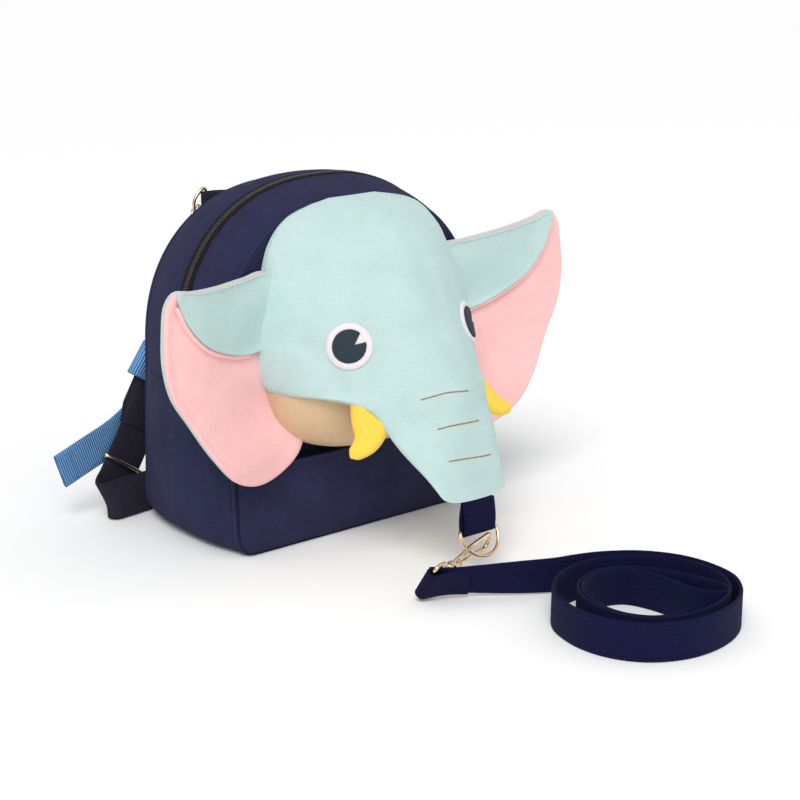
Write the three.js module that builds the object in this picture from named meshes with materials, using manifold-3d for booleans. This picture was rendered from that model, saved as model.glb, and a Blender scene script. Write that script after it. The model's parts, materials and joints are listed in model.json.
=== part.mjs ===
// Toddler harness backpack with a soft elephant head, a walking lead and shoulder straps.
// Millimetres. Z is up, the front of the bag faces -Y, +X is the viewer's right.
// The origin lies on the floor below the middle of the bag.
import * as THREE from 'three';
import Module from 'manifold-3d';

const wasm = await Module();
wasm.setup();

// Room left between neighbouring pieces
const GAP = 0.35;

// Bag shell
const CLOTH = 2;
const PANEL_HALF_WIDTH = 107;
const GUSSET_SWELL = 8;
const LOWER_SWELL = 5;
const BAG_HEIGHT = 243;
const PANEL_DROP = 9;
const BASE_FRONT = 58.5;
const BASE_REAR = 60;
const FRONT_LEAN = 0.053;
const REAR_LEAN = 0.066;
const ARCH_START = 130;
const ARCH_POWER = 2.3;
const BASE_CORNER = 16;

// Zip
const ZIP_PLACE = 0.44;
const ZIP_TAPE_WIDTH = 13;
const ZIP_CHAIN_WIDTH = 5;
const ZIP_CHAIN_RISE = 1.1;
const ZIP_END_HEIGHT = 112;
const SLIDER_LENGTH = 12;
const SLIDER_WIDTH = 8;
const SLIDER_RISE = 3;
const PULL_LENGTH = 20;

// Front pocket
const POCKET_HEIGHT = 62;
const POCKET_BELLY = 9;
const POCKET_SIDE_SEAM = 1.5;

// Elephant head and trunk
const HEAD_HALF_WIDTH = 88.5;
const HEAD_TOP = 235;
const TRUNK_REACH = 124;
const CHIN_DEPTH = 56;
const EYE_SPREAD = 51;
const EYE_HEIGHT = 149.5;
const EYE_DIAMETER = 30.5;
const PUPIL_DIAMETER = 22;
const PATCH = 0.9;
const TUSK_LENGTH = 29;
const TUSK_ROOT = 36;
const TUSK_THICK = 12;

// Ears
const EAR_REACH = 170;
const EAR_TOP = 203;
const EAR_FORWARD = 20;
const EAR_LAYER = 2.4;
const EAR_RIM = 1.2;
const EAR_TILT = 0.1;

// Webbing, rings and hook
const WEB_WIDTH = 25;
const WEB = 2;
const TAB_WIDTH = 26.5;
const TAB_DROP = 21;
const TAB_WEB = 1.6;
const RING_WIRE = 2.8;
const RING_WIDTH = 34;
const RING_DROP = 21.5;
const RING_SWING = 0.57;
const HOOK_WIRE = 3;
const HOOK_LENGTH = 42;
const HOOK_WIDTH = 15.8;
const GATE_WIRE = 2.2;
const GATE_HEEL = 1;
const BARREL_LENGTH = 7;
const BARREL_DIAMETER = 7;
const STEM_DIAMETER = 2.6;
const LOOP_FOLD = 27;
const FOLD_SQUEEZE = 0.89;

// Coiled lead
const COIL_X = 30;
const COIL_Y = -304;
const COIL_RADIUS = 57;
const LAYER_PITCH = 2.7;

// Shoulder straps
const STRAP_WIDTH = 38;
const STRAP_PAD = 7;
const LOWER_WIDTH = 30;
const LOWER_WEB = 2.4;
const SLEEVE_HEIGHT = 25;
const SLEEVE_WEB = 1.6;
const BAND_WIDTH = 26;
const BAND_WEB = 1.8;
const BAND_FOLD = 13;
const SLIDE_WIRE = 2.6;
const TOP_WEB_WIDTH = 16;
const TOP_WIRE = 2.4;
const TOP_RING = 19;
const CLIP_WIDTH = 11;

// Vectors
const add = (a, b) => a.map((v, i) => v + b[i]);
const sub = (a, b) => a.map((v, i) => v - b[i]);
const mul = (a, k) => a.map((v) => v * k);
const dot = (a, b) => a[0] * b[0] + a[1] * b[1] + a[2] * b[2];
const cross = (a, b) => [
  a[1] * b[2] - a[2] * b[1], a[2] * b[0] - a[0] * b[2], a[0] * b[1] - a[1] * b[0],
];
const unit = (a) => mul(a, 1 / Math.hypot(...a));
const mix = (a, b, t) => a + (b - a) * t;
const smooth = (t) => { const c = Math.min(1, Math.max(0, t)); return c * c * (3 - 2 * c); };
const mirrorX = (p) => [-p[0], p[1], p[2]];

// A smooth curve through points, sampled evenly
function curve(points, count, closed = false) {
  const path = new THREE.CatmullRomCurve3(points.map((p) => new THREE.Vector3(...p)), closed, 'centripetal');
  path.arcLengthDivisions = 800;
  return path.getSpacedPoints(count).map((v) => v.toArray());
}

// Closed solids: a body is { points, faces }
function fixWinding(body) {
  let volume = 0;
  for (const [a, b, c] of body.faces) {
    volume += dot(body.points[a], cross(body.points[b], body.points[c]));
  }
  if (volume < 0) body.faces = body.faces.map(([a, b, c]) => [a, c, b]);
  return body;
}

// A sheet with an outer and an inner grid of the same size, closed round its rim
function sheetSolid(outer, inner, closedColumns = false) {
  const rows = outer.length;
  const cols = outer[0].length;
  const points = [...outer.flat(), ...inner.flat()];
  const at = (i, j) => i * cols + (j % cols);
  const under = (i, j) => rows * cols + at(i, j);
  const faces = [];
  const quad = (a, b, c, d) => faces.push([a, b, c], [a, c, d]);
  const lastCol = closedColumns ? cols : cols - 1;
  for (let i = 0; i + 1 < rows; i++) {
    for (let j = 0; j < lastCol; j++) {
      quad(at(i, j), at(i, j + 1), at(i + 1, j + 1), at(i + 1, j));
      quad(under(i, j + 1), under(i, j), under(i + 1, j), under(i + 1, j + 1));
    }
    if (!closedColumns) {
      quad(under(i, 0), at(i, 0), at(i + 1, 0), under(i + 1, 0));
      quad(at(i, cols - 1), under(i, cols - 1), under(i + 1, cols - 1), at(i + 1, cols - 1));
    }
  }
  for (let j = 0; j < lastCol; j++) {
    quad(at(0, j + 1), at(0, j), under(0, j), under(0, j + 1));
    quad(at(rows - 1, j), at(rows - 1, j + 1), under(rows - 1, j + 1), under(rows - 1, j));
  }
  return fixWinding({ points, faces });
}

// A body swept through closed rings, capped at both ends unless it closes on itself;
// its first turnedRows rows are split along the other diagonal
function loft(rings, closed = false, turnedRows = 0) {
  const size = rings[0].length;
  const points = rings.flat();
  const faces = [];
  const count = closed ? rings.length : rings.length - 1;
  for (let i = 0; i < count; i++) {
    const next = (i + 1) % rings.length;
    for (let j = 0; j < size; j++) {
      const k = (j + 1) % size;
      const [a, b, c, d] = [i * size + j, i * size + k, next * size + k, next * size + j];
      faces.push(...(i < turnedRows ? [[a, b, d], [b, c, d]] : [[a, b, c], [a, c, d]]));
    }
  }
  if (!closed) {
    for (const [row, flip] of [[0, true], [rings.length - 1, false]]) {
      const middle = points.length;
      points.push(mul(rings[row].reduce(add), 1 / size));
      for (let j = 0; j < size; j++) {
        const a = row * size + j;
        const b = row * size + ((j + 1) % size);
        faces.push(flip ? [middle, b, a] : [middle, a, b]);
      }
    }
  }
  return fixWinding({ points, faces });
}

const tangents = (path, closed) => path.map((p, i) => {
  const n = path.length;
  const before = closed ? path[(i + n - 1) % n] : path[Math.max(0, i - 1)];
  const after = closed ? path[(i + 1) % n] : path[Math.min(n - 1, i + 1)];
  return unit(sub(after, before));
});

// Flat webbing along a path, its width lying along the given direction at each point
function ribbon(path, across, width, thick, closed = false, padded = false) {
  const along = tangents(path, closed);
  const rings = path.map((p, i) => {
    const wide = across(i / (path.length - 1), i);
    const w = unit(sub(wide, mul(along[i], dot(wide, along[i]))));
    const n = unit(cross(along[i], w));
    const half = (typeof width === 'function' ? width(i / (path.length - 1)) : width) / 2;
    const deep = (typeof thick === 'function' ? thick(i / (path.length - 1)) : thick) / 2;
    if (!padded) {
      return [[half, deep], [-half, deep], [-half, -deep], [half, -deep]]
        .map(([a, b]) => add(p, add(mul(w, a), mul(n, b))));
    }
    const corner = 0.6 * deep;
    return [[half, deep - corner], [half - corner, deep], [corner - half, deep], [-half, deep - corner],
      [-half, corner - deep], [corner - half, -deep], [half - corner, -deep], [half, corner - deep]]
      .map(([a, b]) => add(p, add(mul(w, a), mul(n, b))));
  });
  return loft(rings, closed);
}

// Round wire along a path
function wire(path, diameter, closed = false, sides = 7) {
  const along = tangents(path, closed);
  let side = Math.abs(along[0][2]) < 0.8 ? [0, 0, 1] : [0, 1, 0];
  const rings = path.map((p, i) => {
    side = unit(sub(side, mul(along[i], dot(side, along[i]))));
    const other = cross(along[i], side);
    return Array.from({ length: sides }, (_, k) => {
      const a = (2 * Math.PI * k) / sides;
      return add(p, add(mul(side, Math.cos(a) * diameter / 2), mul(other, Math.sin(a) * diameter / 2)));
    });
  });
  return loft(rings, closed);
}

// Each point moved out along the surface by a distance
function grown(body, distance) {
  const normals = body.points.map(() => [0, 0, 0]);
  for (const face of body.faces) {
    const [a, b, c] = face.map((k) => body.points[k]);
    const n = cross(sub(b, a), sub(c, a));
    for (const k of face) normals[k] = add(normals[k], n);
  }
  return { faces: body.faces, points: body.points.map((p, i) => add(p, mul(unit(normals[i]), distance))) };
}

const toManifold = (body) => new wasm.Manifold(new wasm.Mesh({
  numProp: 3,
  vertProperties: new Float32Array(body.points.flat()),
  triVerts: new Uint32Array(body.faces.flat()),
}));

function fromManifold(solid) {
  const mesh = solid.getMesh();
  const points = [];
  for (let i = 0; i < mesh.numVert; i++) {
    points.push(Array.from(mesh.vertProperties.slice(i * mesh.numProp, i * mesh.numProp + 3)));
  }
  const faces = [];
  for (let i = 0; i < mesh.numTri; i++) faces.push(Array.from(mesh.triVerts.slice(i * 3, i * 3 + 3)));
  return { points, faces };
}

// The largest connected lump of a cut body
function largest(solid) {
  const lumps = solid.decompose();
  return lumps.reduce((best, lump) => (lump.volume() > best.volume() ? lump : best));
}

const cut = (body, ...tools) => fromManifold(largest(
  tools.reduce((solid, tool) => solid.subtract(toManifold(tool)), toManifold(body))));

// Outline of the bag seen from the front, by a share of the way round from the bottom middle
const frontPlane = (z) => FRONT_LEAN * z - BASE_FRONT;
const rearPlane = (z) => BASE_REAR - REAR_LEAN * z;
const BOTTOM_SHARE = 0.14;
const CORNER_SHARE = 0.2;
const SIDE_SHARE = 0.3;

function outline(share, halfWidth, height, inset) {
  const left = share <= 0.5;
  const t = left ? share : 1 - share;
  const w = halfWidth - inset;
  const top = height - inset;
  const r = Math.max(BASE_CORNER - inset, 1);
  let x;
  let z;
  if (t < BOTTOM_SHARE) {
    x = (w - r) * (t / BOTTOM_SHARE);
    z = inset;
  } else if (t < CORNER_SHARE) {
    const a = (Math.PI / 2) * ((t - BOTTOM_SHARE) / (CORNER_SHARE - BOTTOM_SHARE));
    x = w - r + r * Math.sin(a);
    z = inset + r - r * Math.cos(a);
  } else if (t < SIDE_SHARE) {
    x = w;
    z = mix(inset + r, ARCH_START, (t - CORNER_SHARE) / (SIDE_SHARE - CORNER_SHARE));
  } else {
    const a = (Math.PI / 2) * ((t - SIDE_SHARE) / (0.5 - SIDE_SHARE));
    x = w * Math.max(0, Math.cos(a)) ** (2 / ARCH_POWER);
    z = ARCH_START + (top - ARCH_START) * Math.sin(a) ** (2 / ARCH_POWER);
  }
  return [left ? -x : x, z];
}

// A point of the gusset: depth 0 at the front panel and 1 at the back panel
function gussetPoint(share, depth, inset) {
  const belly = 1 - Math.abs(2 * depth - 1) ** 2.4;
  const [x0, z] = outline(share, PANEL_HALF_WIDTH + GUSSET_SWELL * belly,
    BAG_HEIGHT - PANEL_DROP * (1 - belly), inset);
  const low = Math.sin(Math.PI * Math.min(1, Math.max(0, z / ARCH_START)));
  const x = x0 * (1 + (LOWER_SWELL * low * belly) / PANEL_HALF_WIDTH);
  const y = mix(frontPlane(z) + CLOTH + GAP, rearPlane(z) - CLOTH - GAP, depth);
  return [x, y, z];
}

const range = (from, to, count) => Array.from({ length: count + 1 }, (_, i) => mix(from, to, i / count));

function gussetBand(shares, depths, outInset, inInset) {
  const grid = (inset) => shares.map((s) => depths.map((d) => gussetPoint(((s % 1) + 1) % 1, d, inset)));
  return sheetSolid(grid(outInset), grid(inInset));
}

const zipEndShare = CORNER_SHARE + (SIDE_SHARE - CORNER_SHARE)
  * (ZIP_END_HEIGHT - BASE_CORNER) / (ARCH_START - BASE_CORNER);
const sideGap = (GAP * (SIDE_SHARE - CORNER_SHARE)) / (ARCH_START - BASE_CORNER);
const depthSpan = BASE_FRONT + BASE_REAR;
const tapeHalf = ZIP_TAPE_WIDTH / 2 / depthSpan;
const chainHalf = ZIP_CHAIN_WIDTH / 2 / depthSpan;
const depthGap = (1.6 * GAP) / depthSpan;
const upperShares = range(zipEndShare + sideGap, 1 - zipEndShare - sideGap, 32);

function panel(planeOf, inward) {
  const side = (offset) => range(0, 1, 48).slice(0, -1).map((s) => {
    const [x, z] = outline(s, PANEL_HALF_WIDTH, BAG_HEIGHT - PANEL_DROP, 0);
    return [x, planeOf(z) + offset, z];
  });
  return loft([side(0), side(inward)]);
}

function frontPocket() {
  const top = POCKET_HEIGHT;
  const rows = range(0, 1, 6);
  const cols = range(-1, 1, 20);
  const layer = (lift) => rows.map((v) => cols.map((c) => {
    const z = mix(CLOTH + GAP, top, v);
    const corner = Math.max(0, 1 - z / BASE_CORNER);
    const half = PANEL_HALF_WIDTH - POCKET_SIDE_SEAM - BASE_CORNER * (1 - Math.sqrt(1 - corner ** 2));
    const belly = POCKET_BELLY * (1 - Math.abs(c) ** 4) * Math.sin((Math.PI / 2) * Math.min(1, 1.6 * v));
    return [half * c, frontPlane(z) - GAP - belly - lift, z];
  }));
  return sheetSolid(layer(0), layer(CLOTH));
}

// Head and trunk: slices from the crown to the tip of the trunk.
// width: share of HEAD_HALF_WIDTH; edgeHeight, ridgeHeight: shares of HEAD_TOP;
// edgeOut, ridgeOut, back: shares of TRUNK_REACH from the front panel; power: roundness
const HEAD_SLICES = [
  { width: 0.22, edgeHeight: 0.996, edgeOut: 0, ridgeHeight: 0.998, ridgeOut: 0.03, back: 0, power: 2 },
  { width: 0.52, edgeHeight: 0.972, edgeOut: 0, ridgeHeight: 0.98, ridgeOut: 0.13, back: 0, power: 1.5 },
  { width: 0.69, edgeHeight: 0.938, edgeOut: 0, ridgeHeight: 0.95, ridgeOut: 0.25, back: 0, power: 1.45 },
  { width: 0.81, edgeHeight: 0.883, edgeOut: 0, ridgeHeight: 0.9, ridgeOut: 0.38, back: 0, power: 1.5 },
  { width: 0.88, edgeHeight: 0.809, edgeOut: 0, ridgeHeight: 0.835, ridgeOut: 0.49, back: 0, power: 1.55 },
  { width: 0.945, edgeHeight: 0.723, edgeOut: 0, ridgeHeight: 0.758, ridgeOut: 0.575, back: 0, power: 1.58 },
  { width: 0.99, edgeHeight: 0.638, edgeOut: 0, ridgeHeight: 0.677, ridgeOut: 0.635, back: 0, power: 1.6 },
  { width: 1.0, edgeHeight: 0.574, edgeOut: 0, ridgeHeight: 0.613, ridgeOut: 0.69, back: 0, power: 1.6 },
  { width: 0.98, edgeHeight: 0.51, edgeOut: 0.005, ridgeHeight: 0.56, ridgeOut: 0.735, back: 0, power: 1.65 },
  { width: 0.93, edgeHeight: 0.468, edgeOut: 0.05, ridgeHeight: 0.52, ridgeOut: 0.775, back: 0.04, power: 1.7 },
  { width: 0.8, edgeHeight: 0.473, edgeOut: 0.29, ridgeHeight: 0.487, ridgeOut: 0.805, back: 0.12, power: 1.68 },
  { width: 0.63, edgeHeight: 0.466, edgeOut: 0.5, ridgeHeight: 0.455, ridgeOut: 0.83, back: 0.12, power: 1.7 },
  { width: 0.53, edgeHeight: 0.432, edgeOut: 0.6, ridgeHeight: 0.422, ridgeOut: 0.85, back: 0.08, power: 1.8 },
  { width: 0.44, edgeHeight: 0.36, edgeOut: 0.757, ridgeHeight: 0.352, ridgeOut: 0.9, back: 0.05, power: 2.2 },
  { width: 0.35, edgeHeight: 0.289, edgeOut: 0.893, ridgeHeight: 0.283, ridgeOut: 0.955, back: 0.03, power: 2.2 },
  { width: 0.295, edgeHeight: 0.232, edgeOut: 0.985, ridgeHeight: 0.226, ridgeOut: 1.003, back: 0.012, power: 2.2 },
];

function sliceRing(slice, sides) {
  const half = slice.width * HEAD_HALF_WIDTH;
  const edgeZ = slice.edgeHeight * HEAD_TOP;
  const ridgeZ = slice.ridgeHeight * HEAD_TOP;
  const edgeY = frontPlane(edgeZ) - GAP - slice.edgeOut * TRUNK_REACH;
  const ridgeY = frontPlane(ridgeZ) - GAP - slice.ridgeOut * TRUNK_REACH;
  const front = range(0, Math.PI, sides).map((a) => {
    const out = Math.sin(a) ** (2 / slice.power);
    const x = -half * Math.sign(Math.cos(a)) * Math.abs(Math.cos(a)) ** (2 / slice.power);
    return [x, mix(edgeY, ridgeY, out), mix(edgeZ, ridgeZ, out)];
  });
  const back = range(0, Math.PI, 6).slice(1, -1).map((a) => (
    [half * Math.cos(a), edgeY + slice.back * TRUNK_REACH * Math.sin(a), edgeZ]));
  return [...front, ...back];
}

// Slices between the table's rows, along a smooth curve through each column
function headSlices(perRow) {
  const columns = Object.keys(HEAD_SLICES[0]);
  const last = HEAD_SLICES.length - 1;
  const column = (name, t) => {
    const i = Math.min(last - 1, Math.floor(t));
    const at = (k) => HEAD_SLICES[Math.min(last, Math.max(0, k))][name];
    const f = t - i;
    const m0 = (at(i + 1) - at(i - 1)) / 2;
    const m1 = (at(i + 2) - at(i)) / 2;
    const value = (2 * f ** 3 - 3 * f ** 2 + 1) * at(i) + (f ** 3 - 2 * f ** 2 + f) * m0
      + (3 * f ** 2 - 2 * f ** 3) * at(i + 1) + (f ** 3 - f ** 2) * m1;
    return ['edgeOut', 'back'].includes(name) ? Math.max(0, value) : value;
  };
  return range(0, last, last * perRow).map((t) => Object.fromEntries(columns.map((c) => [c, column(c, t)])));
}

const headBody = loft(headSlices(2).map((slice) => sliceRing(slice, 20)));

// Chin: horizontal slices; width: share of HEAD_HALF_WIDTH, height: share of HEAD_TOP, out: of CHIN_DEPTH
const CHIN_SLICES = [
  { width: 0.24, height: 0.276, out: 0.14 },
  { width: 0.42, height: 0.286, out: 0.36 },
  { width: 0.62, height: 0.312, out: 0.62 },
  { width: 0.8, height: 0.352, out: 0.86 },
  { width: 0.9, height: 0.405, out: 0.98 },
  { width: 0.93, height: 0.46, out: 1.02 },
  { width: 0.93, height: 0.5, out: 1.0 },
];

function chinBody() {
  const rings = CHIN_SLICES.map(({ width, height, out }) => {
    const z = height * HEAD_TOP;
    const y = frontPlane(z) - GAP;
    const front = range(0, Math.PI, 14).map((a) => [
      -width * HEAD_HALF_WIDTH * Math.sign(Math.cos(a)) * Math.abs(Math.cos(a)) ** 0.85,
      y - out * CHIN_DEPTH * Math.sin(a) ** 0.85, z]);
    return front;
  });
  return loft(rings);
}

// Flat back of the chin lies against the front panel, so its slices close with a straight line
const headRoom = grown(headBody, GAP);
const chinLoft = chinBody();
const chin = cut(chinLoft, headRoom);
const chinRoom = grown(chinLoft, GAP);

// Eye patches follow the head's surface
function surfaceAt(x, z) {
  let best = null;
  for (const face of headBody.faces) {
    const [a, b, c] = face.map((k) => headBody.points[k]);
    const n = cross(sub(b, a), sub(c, a));
    if (n[1] > 0) continue;
    const middle = mul(add(add(a, b), c), 1 / 3);
    const miss = Math.hypot(middle[0] - x, middle[2] - z);
    if (!best || miss < best.miss) best = { miss, middle, normal: unit(n), a, n };
  }
  const y = best.a[1] - (best.n[0] * (x - best.a[0]) + best.n[2] * (z - best.a[2])) / best.n[1];
  return { place: [x, y, z], normal: best.normal };
}

function patch(shape, side, low, high) {
  const { place, normal } = surfaceAt(side * EYE_SPREAD, EYE_HEIGHT);
  const level = unit(sub([1, 0, 0], mul(normal, normal[0])));
  const rise = cross(normal, level);
  const flat = shape.extractPoints(16).shape;
  if (flat[0].distanceTo(flat[flat.length - 1]) < 1e-6) flat.pop();
  const ring = (depth) => flat.map((v) => (
    add(place, add(add(mul(level, v.x), mul(rise, v.y)), mul(normal, depth)))));
  const prism = loft([ring(-EYE_DIAMETER / 2), ring(EYE_DIAMETER / 2)]);
  const skin = toManifold(grown(headBody, high)).subtract(toManifold(grown(headBody, low)));
  return fromManifold(largest(skin.intersect(toManifold(prism))));
}

function eyeShape() {
  const shape = new THREE.Shape();
  shape.absarc(0, 0, EYE_DIAMETER / 2, 0, 2 * Math.PI);
  return shape;
}

function pupilShape() {
  const r = PUPIL_DIAMETER / 2;
  const shape = new THREE.Shape();
  shape.moveTo(r * 0.28, 0);
  shape.lineTo(r * Math.cos(0.75), r * Math.sin(0.75));
  shape.absarc(0, 0, r, 0.75, 2 * Math.PI);
  shape.closePath();
  return shape;
}

// Tusks: a soft horn from the trunk's edge seam; tip: place of the point as measured
const TUSKS = { left: { tip: [-57, -122, 79] }, right: { tip: [71, -129, 91] } };

function tusk(side) {
  const sign = side === 'left' ? -1 : 1;
  const root = [sign * 0.53 * HEAD_HALF_WIDTH, -1.0 * TRUNK_REACH, 0.445 * HEAD_TOP];
  const { tip } = TUSKS[side];
  const reach = unit(sub(tip, root));
  const end = add(root, mul(reach, TUSK_LENGTH));
  const bend = add(mul(add(root, end), 0.5), [sign * -3, -4, -3]);
  const path = curve([root, bend, end], 8);
  const seam = unit([sign * -0.38, -0.74, -0.56]);
  const along = tangents(path, false);
  const rings = path.map((p, i) => {
    const f = i / (path.length - 1);
    const wide = (TUSK_ROOT / 2) * mix(1, 0.2, f ** 0.8) * (f > 0.98 ? 0.5 : 1);
    const deep = (TUSK_THICK / 2) * mix(1, 0.35, f ** 1.2) * (f > 0.98 ? 0.5 : 1);
    const w = unit(sub(seam, mul(along[i], dot(seam, along[i]))));
    const n = cross(along[i], w);
    return range(0, 2 * Math.PI, 12).slice(0, -1).map((a) => (
      add(p, add(mul(w, wide * Math.cos(a)), mul(n, deep * Math.sin(a))))));
  });
  return cut(loft(rings), headRoom, chinRoom);
}

// Ears: outline in front view; out: share of EAR_REACH from the middle, height: share of EAR_TOP
const EAR_OUTLINE = [
  { out: 0.445, height: 0.94 }, { out: 0.56, height: 0.947 }, { out: 0.7, height: 0.957 },
  { out: 0.85, height: 0.977 }, { out: 0.935, height: 0.992 }, { out: 0.975, height: 0.96 },
  { out: 0.995, height: 0.87 }, { out: 1.0, height: 0.77 }, { out: 0.975, height: 0.665 },
  { out: 0.905, height: 0.56 }, { out: 0.815, height: 0.43 }, { out: 0.715, height: 0.33 },
  { out: 0.6, height: 0.285 }, { out: 0.49, height: 0.29 }, { out: 0.39, height: 0.34 },
  { out: 0.36, height: 0.41 }, { out: 0.42, height: 0.5 }, { out: 0.475, height: 0.6 },
  { out: 0.48, height: 0.75 },
];
const EAR_FOLD = [
  { out: 0.445, height: 0.94 }, { out: 0.56, height: 0.947 }, { out: 0.7, height: 0.957 },
  { out: 0.85, height: 0.977 }, { out: 0.935, height: 0.992 }, { out: 0.93, height: 0.95 },
  { out: 0.89, height: 0.875 }, { out: 0.8, height: 0.79 }, { out: 0.66, height: 0.728 },
  { out: 0.56, height: 0.705 }, { out: 0.48, height: 0.71 }, { out: 0.46, height: 0.83 },
];

// Distance of the ear's middle sheet in front of the front panel
function earOut(x, z) {
  const swing = smooth((x / EAR_REACH - 0.45) / 0.5);
  const lobe = smooth((0.6 - z / EAR_TOP) / 0.25);
  return EAR_RIM + EAR_FORWARD * swing * (1 - 0.25 * lobe) + (POCKET_BELLY + 3) * lobe;
}

// A padded layer over an outline: near and far are distances in front of the ear's middle sheet
function earLayer(table, side, near, far, count) {
  const sign = side === 'left' ? -1 : 1;
  const loop = curve(table.map(({ out, height }) => [out * EAR_REACH, 0, height * EAR_TOP]), count, true).slice(0, -1);
  const middle = mul(loop.reduce(add), 1 / loop.length);
  const place = (p, lift) => {
    const turned = p[2] + sign * EAR_TILT * (p[0] - 0.5 * EAR_REACH);
    return [sign * p[0], frontPlane(turned) - earOut(p[0], p[2]) - lift, turned];
  };
  const scale = [1, 0.93, 0.68, 0.35];
  const bulge = [0, 0.6, 0.95, 1];
  const half = (base, tip) => scale.map((f, k) => loop.map((p) => (
    place(add(middle, mul(sub(p, middle), f)), mix(base, tip, bulge[k])))));
  const rim = Math.min(EAR_RIM, (far - near) / 2);
  const back = half(near, near);
  const front = half(near + rim, far);
  return loft([...[...back].reverse(), ...front], false, back.length - 1);
}

// Trunk tab: webbing folded round the bar of the D-ring, its ends sewn to the trunk's end seam
const TIP = HEAD_SLICES[HEAD_SLICES.length - 1];
const tipY = frontPlane(TIP.edgeHeight * HEAD_TOP) - 0.995 * TRUNK_REACH;
const tipZ = TIP.ridgeHeight * HEAD_TOP;
const BAR = [0, tipY, tipZ - TAB_DROP];

function trunkTab() {
  const r = RING_WIRE / 2 + GAP + TAB_WEB / 2;
  const near = TAB_WEB / 2 + GAP / 2;
  const side = (sign) => [
    [0, tipY + sign * near, tipZ - 2 * GAP], [0, tipY + sign * (near + 0.6), tipZ - 4],
    [0, tipY + sign * (r + 0.3), BAR[2] + 8], [0, tipY + sign * r, BAR[2] + 1],
  ];
  const bottom = range(0, Math.PI, 8).slice(1, -1).map((a) => (
    [0, tipY - r * Math.cos(a), BAR[2] - r * Math.sin(a)]));
  const path = curve([...side(-1), ...bottom, ...side(1).reverse()], 30);
  return ribbon(path, () => [1, 0, 0], TAB_WIDTH, TAB_WEB);
}

// D-ring: straight bar in the tab, the bow swung forward by the hook's pull
function dRing() {
  const half = (RING_WIDTH - RING_WIRE) / 2;
  const drop = RING_DROP - RING_WIRE;
  const shape = [
    [-0.87, 0], [-0.4, 0], [0.4, 0], [0.87, 0], [0.985, -0.09], [0.98, -0.29], [0.84, -0.61], [0.52, -0.89],
    [0, -1], [-0.52, -0.89], [-0.84, -0.61], [-0.98, -0.29], [-0.985, -0.09],
  ];
  return wire(curve(shape.map(([x, z]) => (
    [x * half, BAR[1] + z * drop * Math.sin(RING_SWING), BAR[2] + z * drop * Math.cos(RING_SWING)])),
  36, true).slice(0, -1), RING_WIRE, true);
}

// Snap hook: from the bow's end to the swivel eye; across points to the lever's side
const HOOK_START = [11, tipY - 0.15, tipZ - 30.9];
const HOOK_END = [-57, tipY - 17.5, 13.7];
const hookAlong = unit(sub(HOOK_END, HOOK_START));
const LEVER_SIDE = [0.0, 0.37, -0.93];
const hookAcross = unit(sub(LEVER_SIDE, mul(hookAlong, dot(LEVER_SIDE, hookAlong))));
const hookNormal = cross(hookAlong, hookAcross);
const onHook = (t, b, n = 0) => (
  add(HOOK_START, add(add(mul(hookAlong, t), mul(hookAcross, b)), mul(hookNormal, n))));
const bow = (HOOK_WIDTH - HOOK_WIRE) / 2;
const NECK = HOOK_LENGTH;

function tubeUnion(parts) {
  return fromManifold(parts.map(toManifold).reduce((a, b) => a.add(b)));
}

function hookBody() {
  const nose = range(0.4 * Math.PI, 1.5 * Math.PI, 18).map((a) => (
    onHook(bow + bow * Math.cos(a), bow * Math.sin(a))));
  const spine = range(0.2, 1, 7).map((f) => onHook(mix(bow, NECK - 4, f), -bow + 0.55 * bow * smooth((f - 0.45) / 0.55)));
  const tail = [onHook(NECK - 1, -0.25 * bow), onHook(NECK + 1.5, 0)];
  const rod = wire(curve([...nose, ...spine, ...tail], 30), HOOK_WIRE);
  const barrel = wire([onHook(NECK - 1, 0), onHook(NECK + BARREL_LENGTH, 0)], BARREL_DIAMETER, false, 14);
  const ear = wire([onHook(NECK - 7, 0.42 * bow), onHook(NECK, 0.2 * bow)], HOOK_WIRE * 0.95, false, 8);
  const stem = wire([onHook(NECK + 2, 0), onHook(NECK + BARREL_LENGTH + 2, 0)], STEM_DIAMETER + 2 * GAP, false, 14);
  return cut(tubeUnion([rod, barrel, ear]), stem);
}

// Spring lever: turns about the pivot into the hook's mouth
const GATE_PIVOT = onHook(NECK - 8.5, 0.52 * bow);
const GATE_TIP = onHook(9.6, 0.74 * bow);

function hookGate() {
  const along = unit(sub(GATE_TIP, GATE_PIVOT));
  const from = add(GATE_PIVOT, mul(along, -GATE_HEEL));
  return wire([from, add(GATE_PIVOT, mul(along, 4)), GATE_TIP], GATE_WIRE, false, 8);
}

// Swivel eye: a stem in the barrel and a D whose bar carries the lead
const BAR_LEAN = [-0.12, -0.58, 0.8];
const barRise = unit(sub(BAR_LEAN, mul(hookAlong, dot(BAR_LEAN, hookAlong))));

function swivelEye() {
  const length = Math.hypot(...sub(HOOK_END, HOOK_START));
  const half = WEB_WIDTH / 2 + 3 * GAP + STEM_DIAMETER / 2;
  const root = NECK + BARREL_LENGTH + 3;
  const at = (t, h) => add(onHook(t, 0), mul(barRise, h * half));
  const frame = curve([
    at(length, -0.9), at(length, 0), at(length, 0.9), at(length - 1.2, 1), at(mix(length, root, 0.45), 0.95),
    at(mix(length, root, 0.85), 0.5), at(root, 0), at(mix(length, root, 0.85), -0.5),
    at(mix(length, root, 0.45), -0.95), at(length - 1.2, -1),
  ], 36, true).slice(0, -1);
  const stem = wire([onHook(NECK + 2 + GAP, 0), onHook(root + 0.5, 0)], STEM_DIAMETER, false, 12);
  return tubeUnion([wire(frame, STEM_DIAMETER, true), stem]);
}

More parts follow.
